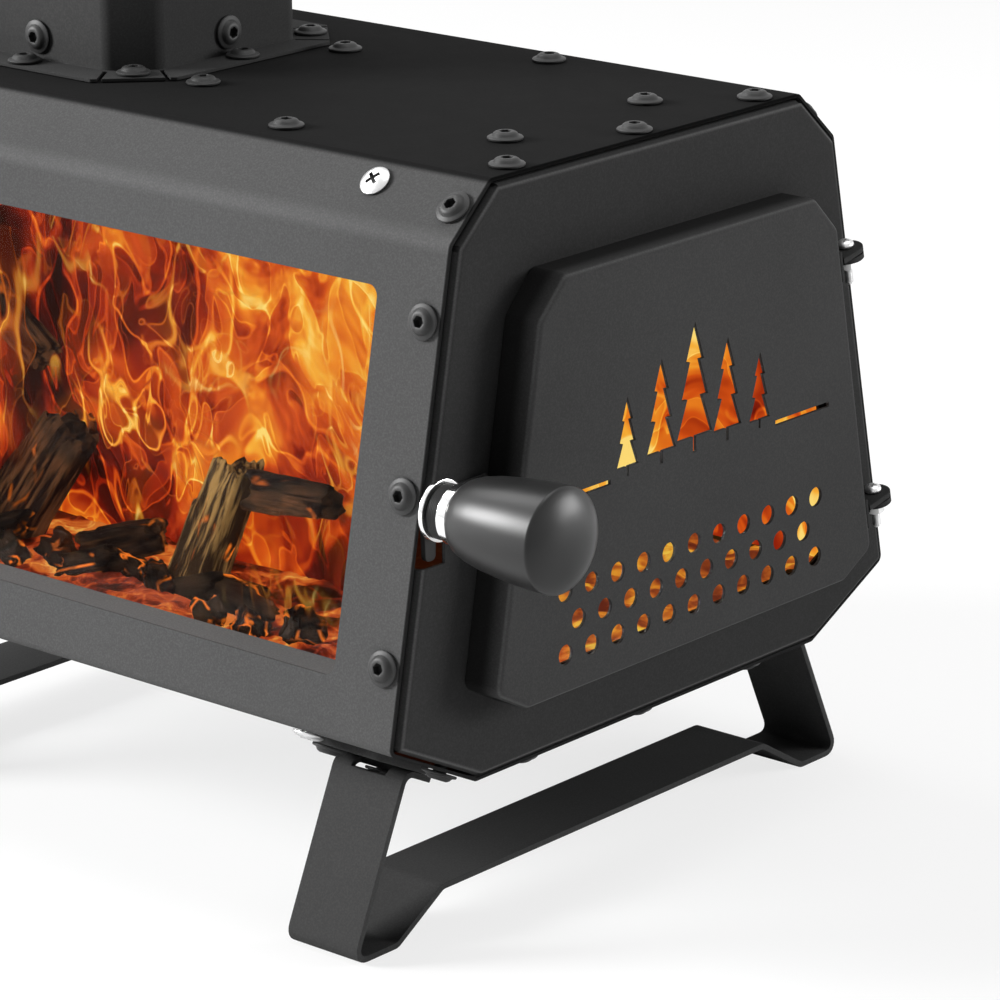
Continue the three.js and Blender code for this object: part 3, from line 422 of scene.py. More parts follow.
class Board:
    # the nodes of one material or world
    def __init__(self, name, kind='materials'):
        self.owner = getattr(bpy.data, kind).new(name)
        self.owner.use_nodes = True
        self.tree = self.owner.node_tree
        self.tree.nodes.clear()

    def add(self, kind, settings=None, sockets=None):
        node = self.tree.nodes.new(kind)
        for key, value in (settings or {}).items():
            if key == 'stops':
                elements = node.color_ramp.elements
                while len(elements) > 1:
                    elements.remove(elements[-1])
                for index, (position, colour) in enumerate(value):
                    stop = elements[0] if index == 0 else elements.new(position)
                    stop.position = position
                    stop.color = (*colour, 1)
            else:
                setattr(node, key, value)
        for key, value in (sockets or {}).items():
            if isinstance(value, Signal):
                self.tree.links.new(value.socket, node.inputs[key])
            else:
                node.inputs[key].default_value = value
        return node

    def signal(self, output, kind, settings=None, sockets=None):
        return Signal(self, self.add(kind, settings, sockets).outputs[output])

    def maths(self, operation, first, second, clamp=False):
        return self.signal(0, 'ShaderNodeMath', {'operation': operation, 'use_clamp': clamp},
                           {0: first, 1: second})

    def vectors(self, operation, first, second, socket=1):
        return self.signal(0, 'ShaderNodeVectorMath', {'operation': operation}, {0: first, socket: second})

    def scaled(self, vector, amount):
        return self.vectors('SCALE', vector, amount, 'Scale')

    def clamp(self, value):
        return self.maths('ADD', value, 0, clamp=True)

    def ease(self, value, low, high):
        return self.signal(0, 'ShaderNodeMapRange', {'interpolation_type': 'SMOOTHSTEP'},
                           {'Value': value, 'From Min': low, 'From Max': high})

    def coords(self):
        return self.signal('Object', 'ShaderNodeTexCoord')

    def mapped(self, vector, location=(0, 0, 0), rotation=(0, 0, 0), scale=(1, 1, 1)):
        return self.signal(0, 'ShaderNodeMapping', None,
                           {'Vector': vector, 'Location': location, 'Rotation': rotation, 'Scale': scale})

    def split(self, vector):
        node = self.add('ShaderNodeSeparateXYZ', None, {0: vector})
        return [Signal(self, output) for output in node.outputs]

    def shifted(self, vector, push, amount):
        # moves a coordinate by a colour noise, for wavering patterns
        centred = self.vectors('SUBTRACT', push, (0.5, 0.5, 0.5))
        return self.vectors('ADD', vector, self.scaled(centred, amount))

    def noise(self, vector, scale, detail=3, roughness=0.5, distortion=0, output=0):
        return self.signal(output, 'ShaderNodeTexNoise', None,
                           {'Vector': vector, 'Scale': scale, 'Detail': detail,
                            'Roughness': roughness, 'Distortion': distortion})

    def cells(self, vector, scale, feature):
        return self.signal(0, 'ShaderNodeTexVoronoi', {'feature': feature},
                           {'Vector': vector, 'Scale': scale})

    def blend(self, factor, first, second):
        first, second = [(*tone, 1) if isinstance(tone, tuple) else tone for tone in (first, second)]
        return self.signal(2, 'ShaderNodeMix', {'data_type': 'RGBA'}, {0: factor, 6: first, 7: second})

    def ramp(self, value, stops):
        return self.signal(0, 'ShaderNodeValToRGB', {'stops': stops}, {0: value})

    def bump(self, height, strength, distance):
        return self.signal(0, 'ShaderNodeBump', None,
                           {'Height': height, 'Strength': strength, 'Distance': distance})

    def mixed(self, factor, first, second):
        return self.signal(0, 'ShaderNodeMixShader', None, {0: factor, 1: first, 2: second})

    def output(self, shader, kind='ShaderNodeOutputMaterial'):
        self.add(kind, None, {0: shader})
        return self.owner

    def finish(self, **sockets):
        names = {'colour': 'Base Color', 'roughness': 'Roughness', 'metallic': 'Metallic',
                 'normal': 'Normal', 'alpha': 'Alpha', 'glow': 'Emission Color',
                 'glowStrength': 'Emission Strength', 'ior': 'IOR', 'specular': 'Specular IOR Level',
                 'transmission': 'Transmission Weight'}
        values = {}
        for key, value in sockets.items():
            values[names[key]] = (*value, 1) if isinstance(value, tuple) else value
        return self.output(self.signal(0, 'ShaderNodeBsdfPrincipled', None, values))


def grey(value):
    return (value, value, value)


paint = {'grainScale': 1500, 'grainDepth': 0.00004, 'cloudScale': 14, 'cloudShare': 0.12, 'rubScale': 90,
         'roughness': 0.74, 'roughnessSpread': 0.12}
metal = {'mottleScale': 160, 'grainScale': 900, 'grainDepth': 0.00003, 'roughnessSpread': 0.09}


def stoveCoords(board):
    # the same zero point as the modelling above
    return board.mapped(board.coords(), location=-origin)


def heatPaint(name, tone, spec=0.04, paintedTopShade=None, paintedWallShade=None, paintedHighlight=None):
    board = Board(name)
    place = board.coords()
    cloud = board.noise(place, paint['cloudScale'], 3)
    grain = board.noise(place, paint['grainScale'], 2, 0.6)
    rub = board.noise(place, paint['rubScale'], 4, 0.6)
    level = tone * (1 - paint['cloudShare']) + 2 * tone * paint['cloudShare'] * cloud
    x, y, z = board.split(stoveCoords(board))
    if paintedTopShade:
        # painted shade: the top sheet is given a darker tone, and the sheared end of the sheet is darkened to
        # stand for the shaded gap beside the end plate
        top = board.ease(z, shell['height'] - 0.002, shell['height'] - 0.0005)
        gapShade = board.ease(x, -0.0009, -0.0003)
        level = level * (1 - top) + paintedTopShade * top
        level = level * (1 - 0.8 * gapShade)
    if paintedWallShade:
        # painted shade: the pressed side walls of the door are darkened up to the bend
        level = level * (paintedWallShade + (1 - paintedWallShade) * board.ease(x, 0.0085, 0.0152))
    if paintedHighlight:
        # painted highlight along a bend, where the bend would catch the light: which coordinate, from, to,
        # how much
        axis, low, high, gain = paintedHighlight
        along = (x, y, z)[axis]
        fade = (high - low) * 0.45
        band = board.ease(along, low, low + fade) * board.ease(along, high, high - fade)
        level = level * (1 + gain * band)
    level = level * (0.90 + 0.28 * board.ease(grain, 0.35, 0.8))
    colour = board.signal(0, 'ShaderNodeCombineColor', None, {0: level, 1: level, 2: level})
    return board.finish(colour=colour, specular=spec,
                        roughness=board.clamp(paint['roughness'] + paint['roughnessSpread'] * rub),
                        normal=board.bump(grain, 0.2, paint['grainDepth']))


def metalFinish(name, tone, roughness, scratches, metallic=1.0, spec=0.5):
    board = Board(name)
    place = board.coords()
    mottle = board.noise(place, metal['mottleScale'], 4, 0.6)
    grain = board.noise(place, metal['grainScale'], 3, 0.6)
    colour = board.blend(mottle, grey(tone * 0.92), grey(min(tone * 1.06, 1)))
    return board.finish(colour=colour, metallic=metallic, specular=spec,
                        roughness=board.clamp(roughness - 0.04 + metal['roughnessSpread'] * mottle),
                        normal=board.bump(grain, scratches, metal['grainDepth']))


def knobFinish():
    board = Board('knob_black')
    place = board.coords()
    mottle = board.noise(place, 60, 3)
    fine = board.noise(place, 1200, 2)
    return board.finish(colour=board.blend(mottle, grey(0.010), grey(0.016)), specular=0.30,
                        roughness=board.clamp(0.33 + 0.05 * mottle), normal=board.bump(fine, 0.08, 0.00002))


def sootSteel():
    board = Board('soot_steel')
    place = board.coords()
    patch = board.noise(place, 26, 5, 0.65, 0.6)
    grain = board.noise(place, 700, 3, 0.6)
    colour = board.ramp(patch, [(0.3, (0.012, 0.011, 0.010)), (0.55, (0.035, 0.030, 0.026)),
                                (0.75, (0.070, 0.055, 0.045))])
    return board.finish(colour=colour, roughness=board.clamp(0.6 + 0.3 * patch), metallic=0.3,
                        normal=board.bump(grain, 0.5, 0.0001))


def gasketWeave():
    board = Board('gasket_weave')
    place = board.coords()
    x, y, z = board.split(place)
    pitch = 4200
    rib = board.maths('SINE', (x + z) * pitch, 0)
    cross = board.maths('SINE', (x - z) * pitch, 0)
    weave = board.clamp(0.5 + 0.25 * rib + 0.25 * cross)
    return board.finish(colour=board.blend(weave, (0.30, 0.28, 0.25), (0.55, 0.53, 0.48)), roughness=0.95,
                        normal=board.bump(weave, 0.6, 0.0003))


def windowGlass():
    board = Board('window_glass')
    place = board.coords()
    haze = board.ease(board.noise(place, 9, 4, 0.6), 0.35, 0.8)
    return board.finish(colour=(0.98, 0.96, 0.93), roughness=board.clamp(0.01 + 0.03 * haze), ior=1.08,
                        transmission=1.0, specular=0.15)


# painted shade on the top sheet and the sheared end, and a painted highlight along the shoulder bend
shellPaint = heatPaint('shell_paint', 0.070, spec=0.02, paintedTopShade=0.010, paintedHighlight=(2, 0.1780, 0.1860, 0.30))
framePaint = heatPaint('frame_paint', 0.105)
fluePaint = heatPaint('flue_paint', 0.040)
# a painted highlight along the plate's bend
platePaint = heatPaint('plate_paint', 0.028, paintedHighlight=(0, 0.0012, 0.0021, 1.5))
# painted shade on the pan's side walls, and a painted highlight along the bend at its face
doorPaint = heatPaint('door_paint', 0.041, paintedWallShade=0.25, paintedHighlight=(0, 0.0154, 0.0167, 0.7))
hingePaint = heatPaint('hinge_paint', 0.030)
legPaint = heatPaint('leg_paint', 0.045)
screwBlack = metalFinish('screw_black', 0.025, 0.48, 0.7, metallic=0.0, spec=0.25)
camBlack = metalFinish('cam_black', 0.020, 0.6, 0.5, metallic=0.0, spec=0.2)
zincPlate = metalFinish('zinc_plate', 0.66, 0.36, 0.3)
brightChrome = metalFinish('bright_chrome', 0.82, 0.16, 0.0)
# a darker finish used as painted shade in the recess of the cross screws
recessPaintedShade = metalFinish('recess_painted_shade', 0.10, 0.6, 0.2, metallic=0.3)
knobBlack = knobFinish()
sootedSteel = sootSteel()
gasketCloth = gasketWeave()
clearGlass = windowGlass()
print('finishes made')


window = {'margin': 0.028, 'height': 0.1273, 'rise': 0.00145, 'corner': 0.004}
flue = {'fromBack': 0.090, 'half': 0.047, 'chamfer': 0.0137, 'height': 0.062, 'flange': 0.013,
        'hole': 0.036, 'screwHeight': 0.0096, 'bore': 0.035, 'collarHeight': 0.034, 'bend': 0.006,
        'cornerScrew': 0.0633, 'slit': 0.0008, 'slitStart': 0.0006, 'lidDrop': 0.009, 'lidBend': 0.004,
        'lidEdge': 0.0015, 'lidLip': 0.002, 'collarFoot': 0.007, 'bead': 0.0016, 'beadHalf': 0.002,
        'beadAt': 0.68}
flueX = -shell['length'] + flue['fromBack']
windowPlace = onFace('windowSide', -shell['length'] / 2, window['rise'])
windowWidth = shell['length'] - 2 * window['margin']


def roundedSlab(name, width, height, radius, low, high, segments=8):
    slab = addBlock(name, (-width / 2, -height / 2, low), (width / 2, height / 2, high))

    def upright(edge):
        a, b = edgeEnds(slab, edge)
        return abs(a.z - b.z) > (high - low) * 0.9
    bevelWhere(slab, upright, radius, segments)
    return slab


def makeShell():
    band = prism('body_shell_sheet', shellCorners, -shell['length'], 0)
    roundBends(band, shellCorners, shell['bend'])
    dropFaces(band, lambda item: abs(item.normal.x) > 0.9)
    thicken(band, shell['sheet'])
    opening = roundedSlab('window_cutter', windowWidth, window['height'], window['corner'], -0.01, 0.01)
    carve(band, place(opening, windowPlace))
    hole = addCylinder('flue_cutter', flue['hole'], -0.01, 0.01, 64)
    carve(band, place(hole, moved(flueX, 0, shell['height'])))
    soften(band, shell['edge'])
    return smoothShade(band)


settle(makeShell(), shellPaint, replaces='body_shell')
print('shell made')


plate = {'proud': 0.0022, 'flange': 0.014, 'radius': 0.003, 'reliefWidth': 0.0021, 'reliefDepth': 0.0011,
         'reliefSkin': 0.0007, 'openingMargin': 0.0036, 'openingCorner': 0.006, 'seam': 0.0008,
         'slotLow': 0.0797, 'slotHigh': 0.1033, 'slotOuter': 0.001, 'slotInner': 0.0044, 'slotBack': 0.0047}
door = {'offset': 0.0023, 'gap': 0.0004, 'depth': 0.0147, 'radius': 0.0026, 'corner': 0.0042,
        'corners': [(0.0849, 0.0266), (0.1006, 0.0352), (0.0787, 0.1551), (0.0659, 0.1681)]}
handle = {'height': 0.0989, 'inset': 0.005}
handleY = -(sideHalf(handle['height']) - handle['inset'])
doorCorners = mirroredCorners(door['corners'])
plateCorners = insetCorners(shellCorners, shell['sheet'] + plate['seam'])


def makePlate(name, face, rim):
    inward = math.copysign(1, rim - face)
    cup = pressPan(name, plateCorners, face, rim, plate['radius'])
    reach = 0.02  # half of a notch cutter, along the stove
    notches = []
    for (y, z), (cy, cz) in zip(plateCorners, insetCorners(plateCorners, 0.004)):
        notch = addBlock('notch', (-plate['reliefDepth'], -plate['reliefWidth'] / 2, -reach),
                         (0.003, plate['reliefWidth'] / 2, reach))
        angle = math.atan2(z - cz, y - cy)
        middle = face + inward * (plate['reliefSkin'] + reach)
        turned = Matrix(((0, 0, 1), (math.cos(angle), -math.sin(angle), 0),
                         (math.sin(angle), math.cos(angle), 0))).to_4x4()
        notches.append(place(notch, moved(middle, y, z) @ turned))
    return carve(cup, joined(notches))


def makeFrontPlate():
    cup = makePlate('front_plate_sheet', plate['proud'], -plate['flange'])
    corners = insetCorners(doorCorners, plate['openingMargin'])
    opening = prism('door_cutter', corners, -0.02, 0.01)
    roundBends(opening, corners, plate['openingCorner'])
    carve(cup, place(opening, moved(0, door['offset'], 0)))
    slotSide = -sideHalf(0.081) - plate['slotOuter']
    carve(cup, addBlock('slot_cutter', (-plate['slotBack'], slotSide, plate['slotLow']),
                        (0.01, handleY + plate['slotInner'], plate['slotHigh'])))
    soften(cup, shell['edge'])
    return smoothShade(cup)


def makeRearPlate():
    end = -shell['length']
    cup = makePlate('rear_plate_sheet', end - plate['proud'], end + plate['flange'])
    soften(cup, shell['edge'])
    return smoothShade(cup)


settle(makeFrontPlate(), platePaint, replaces='front_plate')
settle(makeRearPlate(), platePaint, replaces='rear_plate')
print('end plates made')


glazing = {'inset': 0.001, 'wall': 0.0015, 'depth': 0.0115, 'flange': 0.009, 'glass': 0.004,
           'overlap': 0.007, 'gasket': 0.0015, 'sillRise': 0.0035, 'edge': 0.0003, 'glassEdge': 0.0005}
frameFront = -shell['sheet'] - shell['gap']
frameBack = frameFront - glazing['depth']


def windowSlab(name, grow, low, high):
    return roundedSlab(name, windowWidth + 2 * grow, window['height'] + 2 * grow, window['corner'] + grow,
                       low, high)


def makeWindowFrame():
    ring = windowSlab('window_frame_ring', glazing['inset'] + glazing['wall'], frameBack, frameFront - 0.0001)
    lip = windowSlab('lip', glazing['inset'] + glazing['flange'], frameFront - shell['sheet'], frameFront)
    carve(ring, lip, 'UNION')
    hollow = windowSlab('hollow', glazing['inset'], frameBack - 0.0005, 0.0005)
    # the lower wall of the opening runs inwards and up, as a sill
    pick(hollow, 'VERT', lambda item: item.co.z < frameBack and item.co.y < -window['height'] / 2 + 0.006)
    bpy.ops.transform.translate(value=(0, glazing['sillRise'], 0))
    leaveEdit()
    carve(ring, hollow)
    soften(ring, glazing['edge'])
    return smoothShade(place(ring, windowPlace))


def makeGlass():
    high = frameBack - 2 * shell['gap'] - glazing['gasket']
    pane = windowSlab('window_glass_pane', glazing['overlap'], high - glazing['glass'], high)
    soften(pane, glazing['glassEdge'])
    return smoothShade(place(pane, windowPlace))


settle(makeWindowFrame(), framePaint, replaces='window_frame')
settle(makeGlass(), clearGlass, replaces='window_glass')
print('window made')


cutouts = {'vent': 0.0035, 'ventPitch': 0.01336, 'rowPitch': 0.0108, 'rowTop': 0.0622, 'rows': (11, 10, 11),
           'treeBase': 0.094, 'treeHeights': (0.027, 0.036, 0.045, 0.036, 0.027), 'treePitch': 0.0175,
           'treeWidth': 0.42, 'treeShape': ((0.09, 0), (0.09, 0.12), (1, 0.12), (0.42, 0.42), (0.74, 0.42),
                                            (0.28, 0.70), (0.5, 0.70), (0, 1)),
           'groundLength': 0.030, 'groundHeight': 0.0018, 'reach': 0.01}


def makeTreeCutter(height, y):
    # three tiers over a short trunk, drawn out along X
    half = height * cutouts['treeWidth'] / 2
    right = [(a * half, b * height) for a, b in cutouts['treeShape']]
    points = right + [(-a, b) for a, b in reversed(right[:-1])]
    deselectAll()
    bpy.ops.mesh.primitive_circle_add(vertices=len(points), radius=cutouts['reach'], fill_type='NGON')
    tree = newest('tree_cutter')
    for vertex, (a, b) in zip(tree.data.vertices, points):
        vertex.co = (0, a + y, b + cutouts['treeBase'])
    pick(tree, 'FACE', lambda item: True)
    bpy.ops.mesh.extrude_region_move(TRANSFORM_OT_translate={'value': (2 * cutouts['reach'], 0, 0)})
    bpy.ops.mesh.select_all(action='SELECT')
    bpy.ops.mesh.normals_make_consistent(inside=False)
    leaveEdit()
    return tree


def makeDoorPan():
    face = plate['proud'] + door['depth']
    pan = pressPan('door_pan_sheet', doorCorners, face, plate['proud'] + door['gap'], door['radius'],
                   door['corner'])
    reach = cutouts['reach']
    cutters = []
    for row, count in enumerate(cutouts['rows']):
        for index in range(count):
            y = (index - (count - 1) / 2) * cutouts['ventPitch']
            vent = addCylinder('vent', cutouts['vent'], -reach, reach, 28)
            z = cutouts['rowTop'] - row * cutouts['rowPitch']
            cutters.append(place(vent, moved(face, y, z) @ alongX))
    carve(pan, joined(cutters))
    trees = cutouts['treeHeights']
    cutters = []
    for index, height in enumerate(trees):
        tree = makeTreeCutter(height, (index - (len(trees) - 1) / 2) * cutouts['treePitch'])
        cutters.append(place(tree, moved(face - reach, 0, 0)))
    long, high = cutouts['groundLength'] / 2, cutouts['groundHeight'] / 2
    for side in (-1, 1):
        middle = side * (len(trees) / 2 * cutouts['treePitch'] + long)
        cutters.append(addBlock('ground', (face - reach, middle - long, cutouts['treeBase'] - high),
                                (face + reach, middle + long, cutouts['treeBase'] + high)))
    carve(pan, joined(cutters))
    soften(pan, 0.00015, 2, 40)
    return smoothShade(place(pan, moved(0, door['offset'], 0)))


settle(makeDoorPan(), doorPaint, 'door', 'door_pan')
print('door made')


screw = {'length': 0.007, 'longLength': 0.010, 'shank': 0.0023, 'point': 0.0017, 'socket': 0.0021,
         'socketFloor': 0.0006, 'edge': 0.00012,
         'head': [(0.0058, 0.0003), (0.006, 0.0006), (0.006, 0.0010), (0.0057, 0.0013), (0.0047, 0.0015),
                  (0.0044, 0.0018), (0.0040, 0.0024), (0.0034, 0.0028), (0.0028, 0.0030), (0, 0.0030)]}
crossScrew = {'slot': 0.0013, 'armReach': 0.0027, 'slotFloor': 0.0009, 'turned': 0.5, 'edge': 0.00008,
              'profile': [(0, -0.007), (0.0012, -0.007), (0.0020, -0.0058), (0.0020, 0.0003),
                          (0.0052, 0.0003), (0.0054, 0.0005), (0.0054, 0.0009), (0.0051, 0.0013),
                          (0.0045, 0.0017), (0.0036, 0.0021), (0.0023, 0.0024), (0, 0.0025)]}


def makeButtonHead(length):
    profile = [(0, -length), (screw['point'], -length), (screw['shank'], -length + 0.0006),
               (screw['shank'], shell['gap'])]
    body = turn('button_screw', profile + screw['head'], 40)
    carve(body, addCylinder('socket', screw['socket'], screw['socketFloor'], 0.005, 6))
    soften(body, screw['edge'], 2, 50)
    return smoothShade(body, 36)


def makeCrossHead():
    body = turn('cross_screw', crossScrew['profile'], 40)
    reach, half, bottom = crossScrew['armReach'], crossScrew['slot'] / 2, crossScrew['slotFloor']
    for turned in (0, math.pi / 2):
        arm = addBlock('arm', (-reach, -half, bottom), (reach, half, 0.004))
        carve(body, place(arm, Matrix.Rotation(turned + crossScrew['turned'], 4, 'Z')))
    soften(body, crossScrew['edge'], 2, 50)
    body.data.materials.append(zincPlate)
    body.data.materials.append(recessPaintedShade)
    for face in body.data.polygons:
        # painted shade: the walls and floor of the cross get a darker grey finish
        inside = face.center.xy.length < reach * 1.03 and bottom - 0.0001 < face.center.z < 0.0022
        flatFloor = inside and face.normal.z > 0.98 and face.center.z < bottom + 0.0002
        if flatFloor or (inside and abs(face.normal.z) < 0.35):
            face.material_index = 1
    return smoothShade(body, 36)


buttonMaster = makeButtonHead(screw['length'])
longMaster = makeButtonHead(screw['longLength'])
crossMaster = makeCrossHead()


def addScrew(name, matrix, master=buttonMaster, replaces=None, material=screwBlack):
    twist = Matrix.Rotation(random.uniform(0, 1), 4, 'Z')
    settle(copyAs(master, name, matrix @ twist), material, 'root', replaces)


screwInset = 0.007
endScrews = {
    'top': {'window_side': -0.064, 'middle': 0, 'back_side': 0.064},
    'windowSide': {'lower': -0.055, 'middle': 0.001, 'upper': 0.057},
    'backSide': {'lower': 0.055, 'middle': -0.001, 'upper': -0.057},
    'windowShoulder': {'middle': 0},
    'backShoulder': {'middle': 0},
    'windowHip': {'middle': -0.012},
    'backHip': {'middle': 0.012},
    'bottom': {'window_side': 0.060, 'middle': 0, 'back_side': -0.060},
}
cadScrews = {'top window_side': 'top_screw_window_side', 'top middle': 'top_screw_middle',
             'top back_side': 'top_screw_back_side', 'windowSide lower': 'side_screw_lower',
             'windowSide middle': 'side_screw_middle', 'windowSide upper': 'side_screw_upper',
             'windowShoulder middle': 'shoulder_screw', 'windowHip middle': 'hip_screw'}
for face, spots in endScrews.items():
    for spot, up in spots.items():
        node = cadScrews.get(f'{face} {spot}')
        addScrew(f'door_end_{face}_{spot}', onFace(face, -screwInset, up), replaces=node)
        if node != 'top_screw_middle':
            addScrew(f'flue_end_{face}_{spot}', onFace(face, screwInset - shell['length'], up))
for level, (face, up) in {'upper': ('windowShoulder', 0.004), 'lower': ('windowHip', 0.014)}.items():
    for end, x in {'door_end': -0.043, 'flue_end': -0.287}.items():
        node = f'retainer_screw_{level}_{end}'
        addScrew(f'{node}_zinc', onFace(face, x, up), crossMaster, node, zincPlate)
for name, x, y in (('door_end', -0.032, -0.036), ('flue_end', -0.170, 0.036), ('near', -0.032, 0.036),
                   ('far', -0.170, -0.036), ('left', -0.101, -0.067), ('right', -0.101, 0.067)):
    node = {'door_end': 'baffle_screw_door_end', 'flue_end': 'baffle_screw_flue_end'}.get(name)
    addScrew(f'baffle_{name}', moved(x, y, shell['height']), replaces=node)


def octagon(grow=0.0):
    half = flue['half']
    inner = half - flue['chamfer']
    corners = [(half, -inner), (half, inner), (inner, half), (-inner, half),
               (-half, inner), (-half, -inner), (-inner, -half), (inner, -half)]
    return insetCorners(corners, -grow)


def makeFlueBox():
    sheet = shell['sheet']
    low, high = shell['gap'], shell['gap'] + flue['height']
    walls = prism('flue_box_sheet', octagon(), low, high, 'Z')
    roundBends(walls, octagon(), flue['bend'], 5, 'Z')
    dropFaces(walls, lambda item: abs(item.normal.z) > 0.9)
    thicken(walls, sheet)
    skirt = prism('skirt', octagon(flue['flange']), low, low + sheet, 'Z')
    carve(skirt, prism('skirt_hole', octagon(-sheet / 2), low - 0.01, low + 0.01, 'Z'))
    slits = []
    for x, y in octagon():
        slit = addBlock('slit', (flue['slitStart'], -flue['slit'], -0.01), (0.03, flue['slit'], 0.01))
        slits.append(place(slit, moved(x, y, 0) @ Matrix.Rotation(math.atan2(y, x), 4, 'Z')))
    carve(skirt, joined(slits))
    carve(walls, skirt, 'UNION')
    soften(walls, shell['edge'])
    return smoothShade(walls)


def makeFlueLid():
    sheet, gap = shell['sheet'], shell['gap']
    top = gap + flue['height'] + gap + sheet
    low = gap + flue['height'] - flue['lidDrop']
    lid = pressPan('flue_lid_sheet', octagon(gap + sheet), top, low, flue['lidEdge'], flue['lidBend'],
                   'Z', 5, 4)
    carve(lid, addCylinder('hole', flue['bore'] - flue['lidLip'], top - 0.01, top + 0.01, 64))
    soften(lid, shell['edge'])
    return smoothShade(lid)


def makeFlueCollar():
    sheet, bore, edge = shell['sheet'], flue['bore'], shell['edge']
    low = flue['height'] + 3 * shell['gap'] + sheet
    high = low + flue['collarHeight']
    foot, rim, wall = low + sheet, bore + flue['collarFoot'], bore + sheet
    profile = [(bore, low), (rim - edge, low), (rim, low + edge), (rim, foot - edge), (rim - edge, foot),
               (wall + 0.0012, foot), (wall + 0.0003, foot + 0.0004), (wall, foot + 0.0014)]
    bead = low + flue['beadAt'] * flue['collarHeight']
    for step in range(9):
        angle = math.pi * step / 8
        profile.append((wall + flue['bead'] * math.sin(angle), bead - flue['beadHalf'] * math.cos(angle)))
    profile += [(wall, high - edge), (wall - edge, high), (bore + edge, high), (bore, high - edge),
                (bore, low)]
    return smoothShade(turn('flue_collar_ring', profile, 96, loop=True))


fluePlace = moved(flueX, 0, shell['height'])
for node, make in {'flue_box': makeFlueBox, 'flue_lid': makeFlueLid, 'flue_collar': makeFlueCollar}.items():
    settle(place(make(), fluePlace), fluePaint, replaces=node)
seat = shell['gap'] + shell['sheet']
for name, quarter in {'door_side': 0, 'back_side': 1, 'rear_side': 2, 'window_side': 3}.items():
    spin = fluePlace @ Matrix.Rotation(quarter * math.pi / 2, 4, 'Z')
    wall = spin @ moved(flue['half'], 0, flue['screwHeight']) @ alongX
    flange = spin @ moved(flue['half'] + flue['flange'] / 2 + 0.0007, 0, seat)
    modelled = name in ('door_side', 'window_side')
    addScrew(f'flue_wall_{name}', wall, replaces=f'flue_wall_screw_{name}' if modelled else None)
    addScrew(f'flue_flange_{name}', flange, replaces=f'flue_flange_screw_{name}' if modelled else None)
    corner = spin @ Matrix.Rotation(-math.pi / 4, 4, 'Z') @ moved(flue['cornerScrew'], 0, seat)
    addScrew(f'flue_corner_{name}', corner)
print('flue made')


leg = {'width': 0.031, 'inset': 0.0184, 'thickness': 0.0022, 'height': 0.0577, 'footOuter': 0.1311,
       'footInner': 0.1092, 'barHalf': 0.0865, 'barRise': 0.0137, 'topHalf': 0.1018, 'flange': 0.013,
       'bend': 0.004, 'slotWidth': 0.015, 'slotHalf': 0.0045, 'slotRise': 0.0022, 'slotDrop': 0.0006,
       'slotShift': 0.0005, 'edge': 0.0003}
bracket = {'thickness': 0.002, 'press': 0.00025, 'length': 0.0375, 'screwReach': 0.0085, 'width': 0.027,
           'screwInset': 0.010, 'corner': 0.003, 'lift': 0.001}
hipMiddle = (shell['hipHalf'] + shell['bottomHalf']) / 2
hipLength = math.hypot(shell['hipHalf'] - shell['bottomHalf'], shell['hip'])
flangeOut = 2 * shell['gap'] + bracket['thickness'] + leg['thickness'] / 2
bendAlong = (leg['topHalf'] - hipMiddle) * hipLength / (shell['hipHalf'] - shell['bottomHalf'])


def legPath():
    hip = onFace('backHip')

    def onHip(along):
        point = hip @ Vector((0, -along, flangeOut))
        return (point.y, point.z)
    half = leg['thickness'] / 2
    low = half - leg['height']
    return mirroredCorners([onHip(bendAlong - leg['flange']), onHip(bendAlong),
                            (leg['footOuter'] - half, low), (leg['footInner'], low),
                            (leg['barHalf'], low + leg['barRise'])])


def makeLeg(name, centre):
    half = leg['width'] / 2
    strip = bendStrip(name, legPath(), centre - half, centre + half, leg['bend'], leg['thickness'], 7)
    size = (leg['slotWidth'] / 2, leg['slotHalf'], leg['slotRise'])
    for face, up in (('windowHip', 1), ('backHip', -1)):
        relief = addBlock('relief', [-reach for reach in size], size)
        spot = onFace(face, centre, up * (bendAlong + leg['slotShift']), flangeOut + leg['slotDrop'])
        carve(strip, place(relief, spot))
    soften(strip, leg['edge'])
    return smoothShade(strip)


def makeBracket(name, matrix):
    half = bracket['thickness'] / 2 + bracket['press']
    slab = roundedSlab(name, bracket['length'], bracket['width'], bracket['corner'], -half, half, 5)
    soften(slab, leg['edge'])
    return smoothShade(place(slab, matrix))


legInward = leg['inset'] + leg['width'] / 2
legCentres = {'front': -legInward, 'rear': legInward - shell['length']}
for end, centre in legCentres.items():
    outward = 1 if end == 'front' else -1
    settle(makeLeg(f'leg_frame_{end}_strip', centre), legPaint, 'root', f'leg_frame_{end}')
    plateX = centre - outward * (bracket['length'] - leg['width']) / 2
    screwX = centre - outward * (bracket['length'] - leg['width'] / 2 - bracket['screwInset'])
    for side, up in (('window', 1), ('back', -1)):
        face = f'{side}Hip'
        middle = up * (bendAlong - leg['flange'] + bracket['lift'] + bracket['width'] / 2)
        spot = onFace(face, plateX, middle, shell['gap'] + bracket['thickness'] / 2)
        settle(makeBracket(f'leg_bracket_{end}_{side}_plate', spot), legPaint,
               replaces=f'leg_bracket_{end}_{side}')
        spot = onFace(face, centre, up * (bendAlong - leg['flange'] / 2), flangeOut + leg['thickness'] / 2)
        addScrew(f'leg_{end}_{side}', spot, longMaster, f'leg_screw_{end}_{side}')
        spot = onFace(face, screwX, up * (bendAlong + bracket['screwReach']),
                      shell['gap'] + bracket['thickness'])
        addScrew(f'bracket_{end}_{side}', spot, replaces=f'bracket_screw_{end}' if side == 'window' else None)
print('legs made')


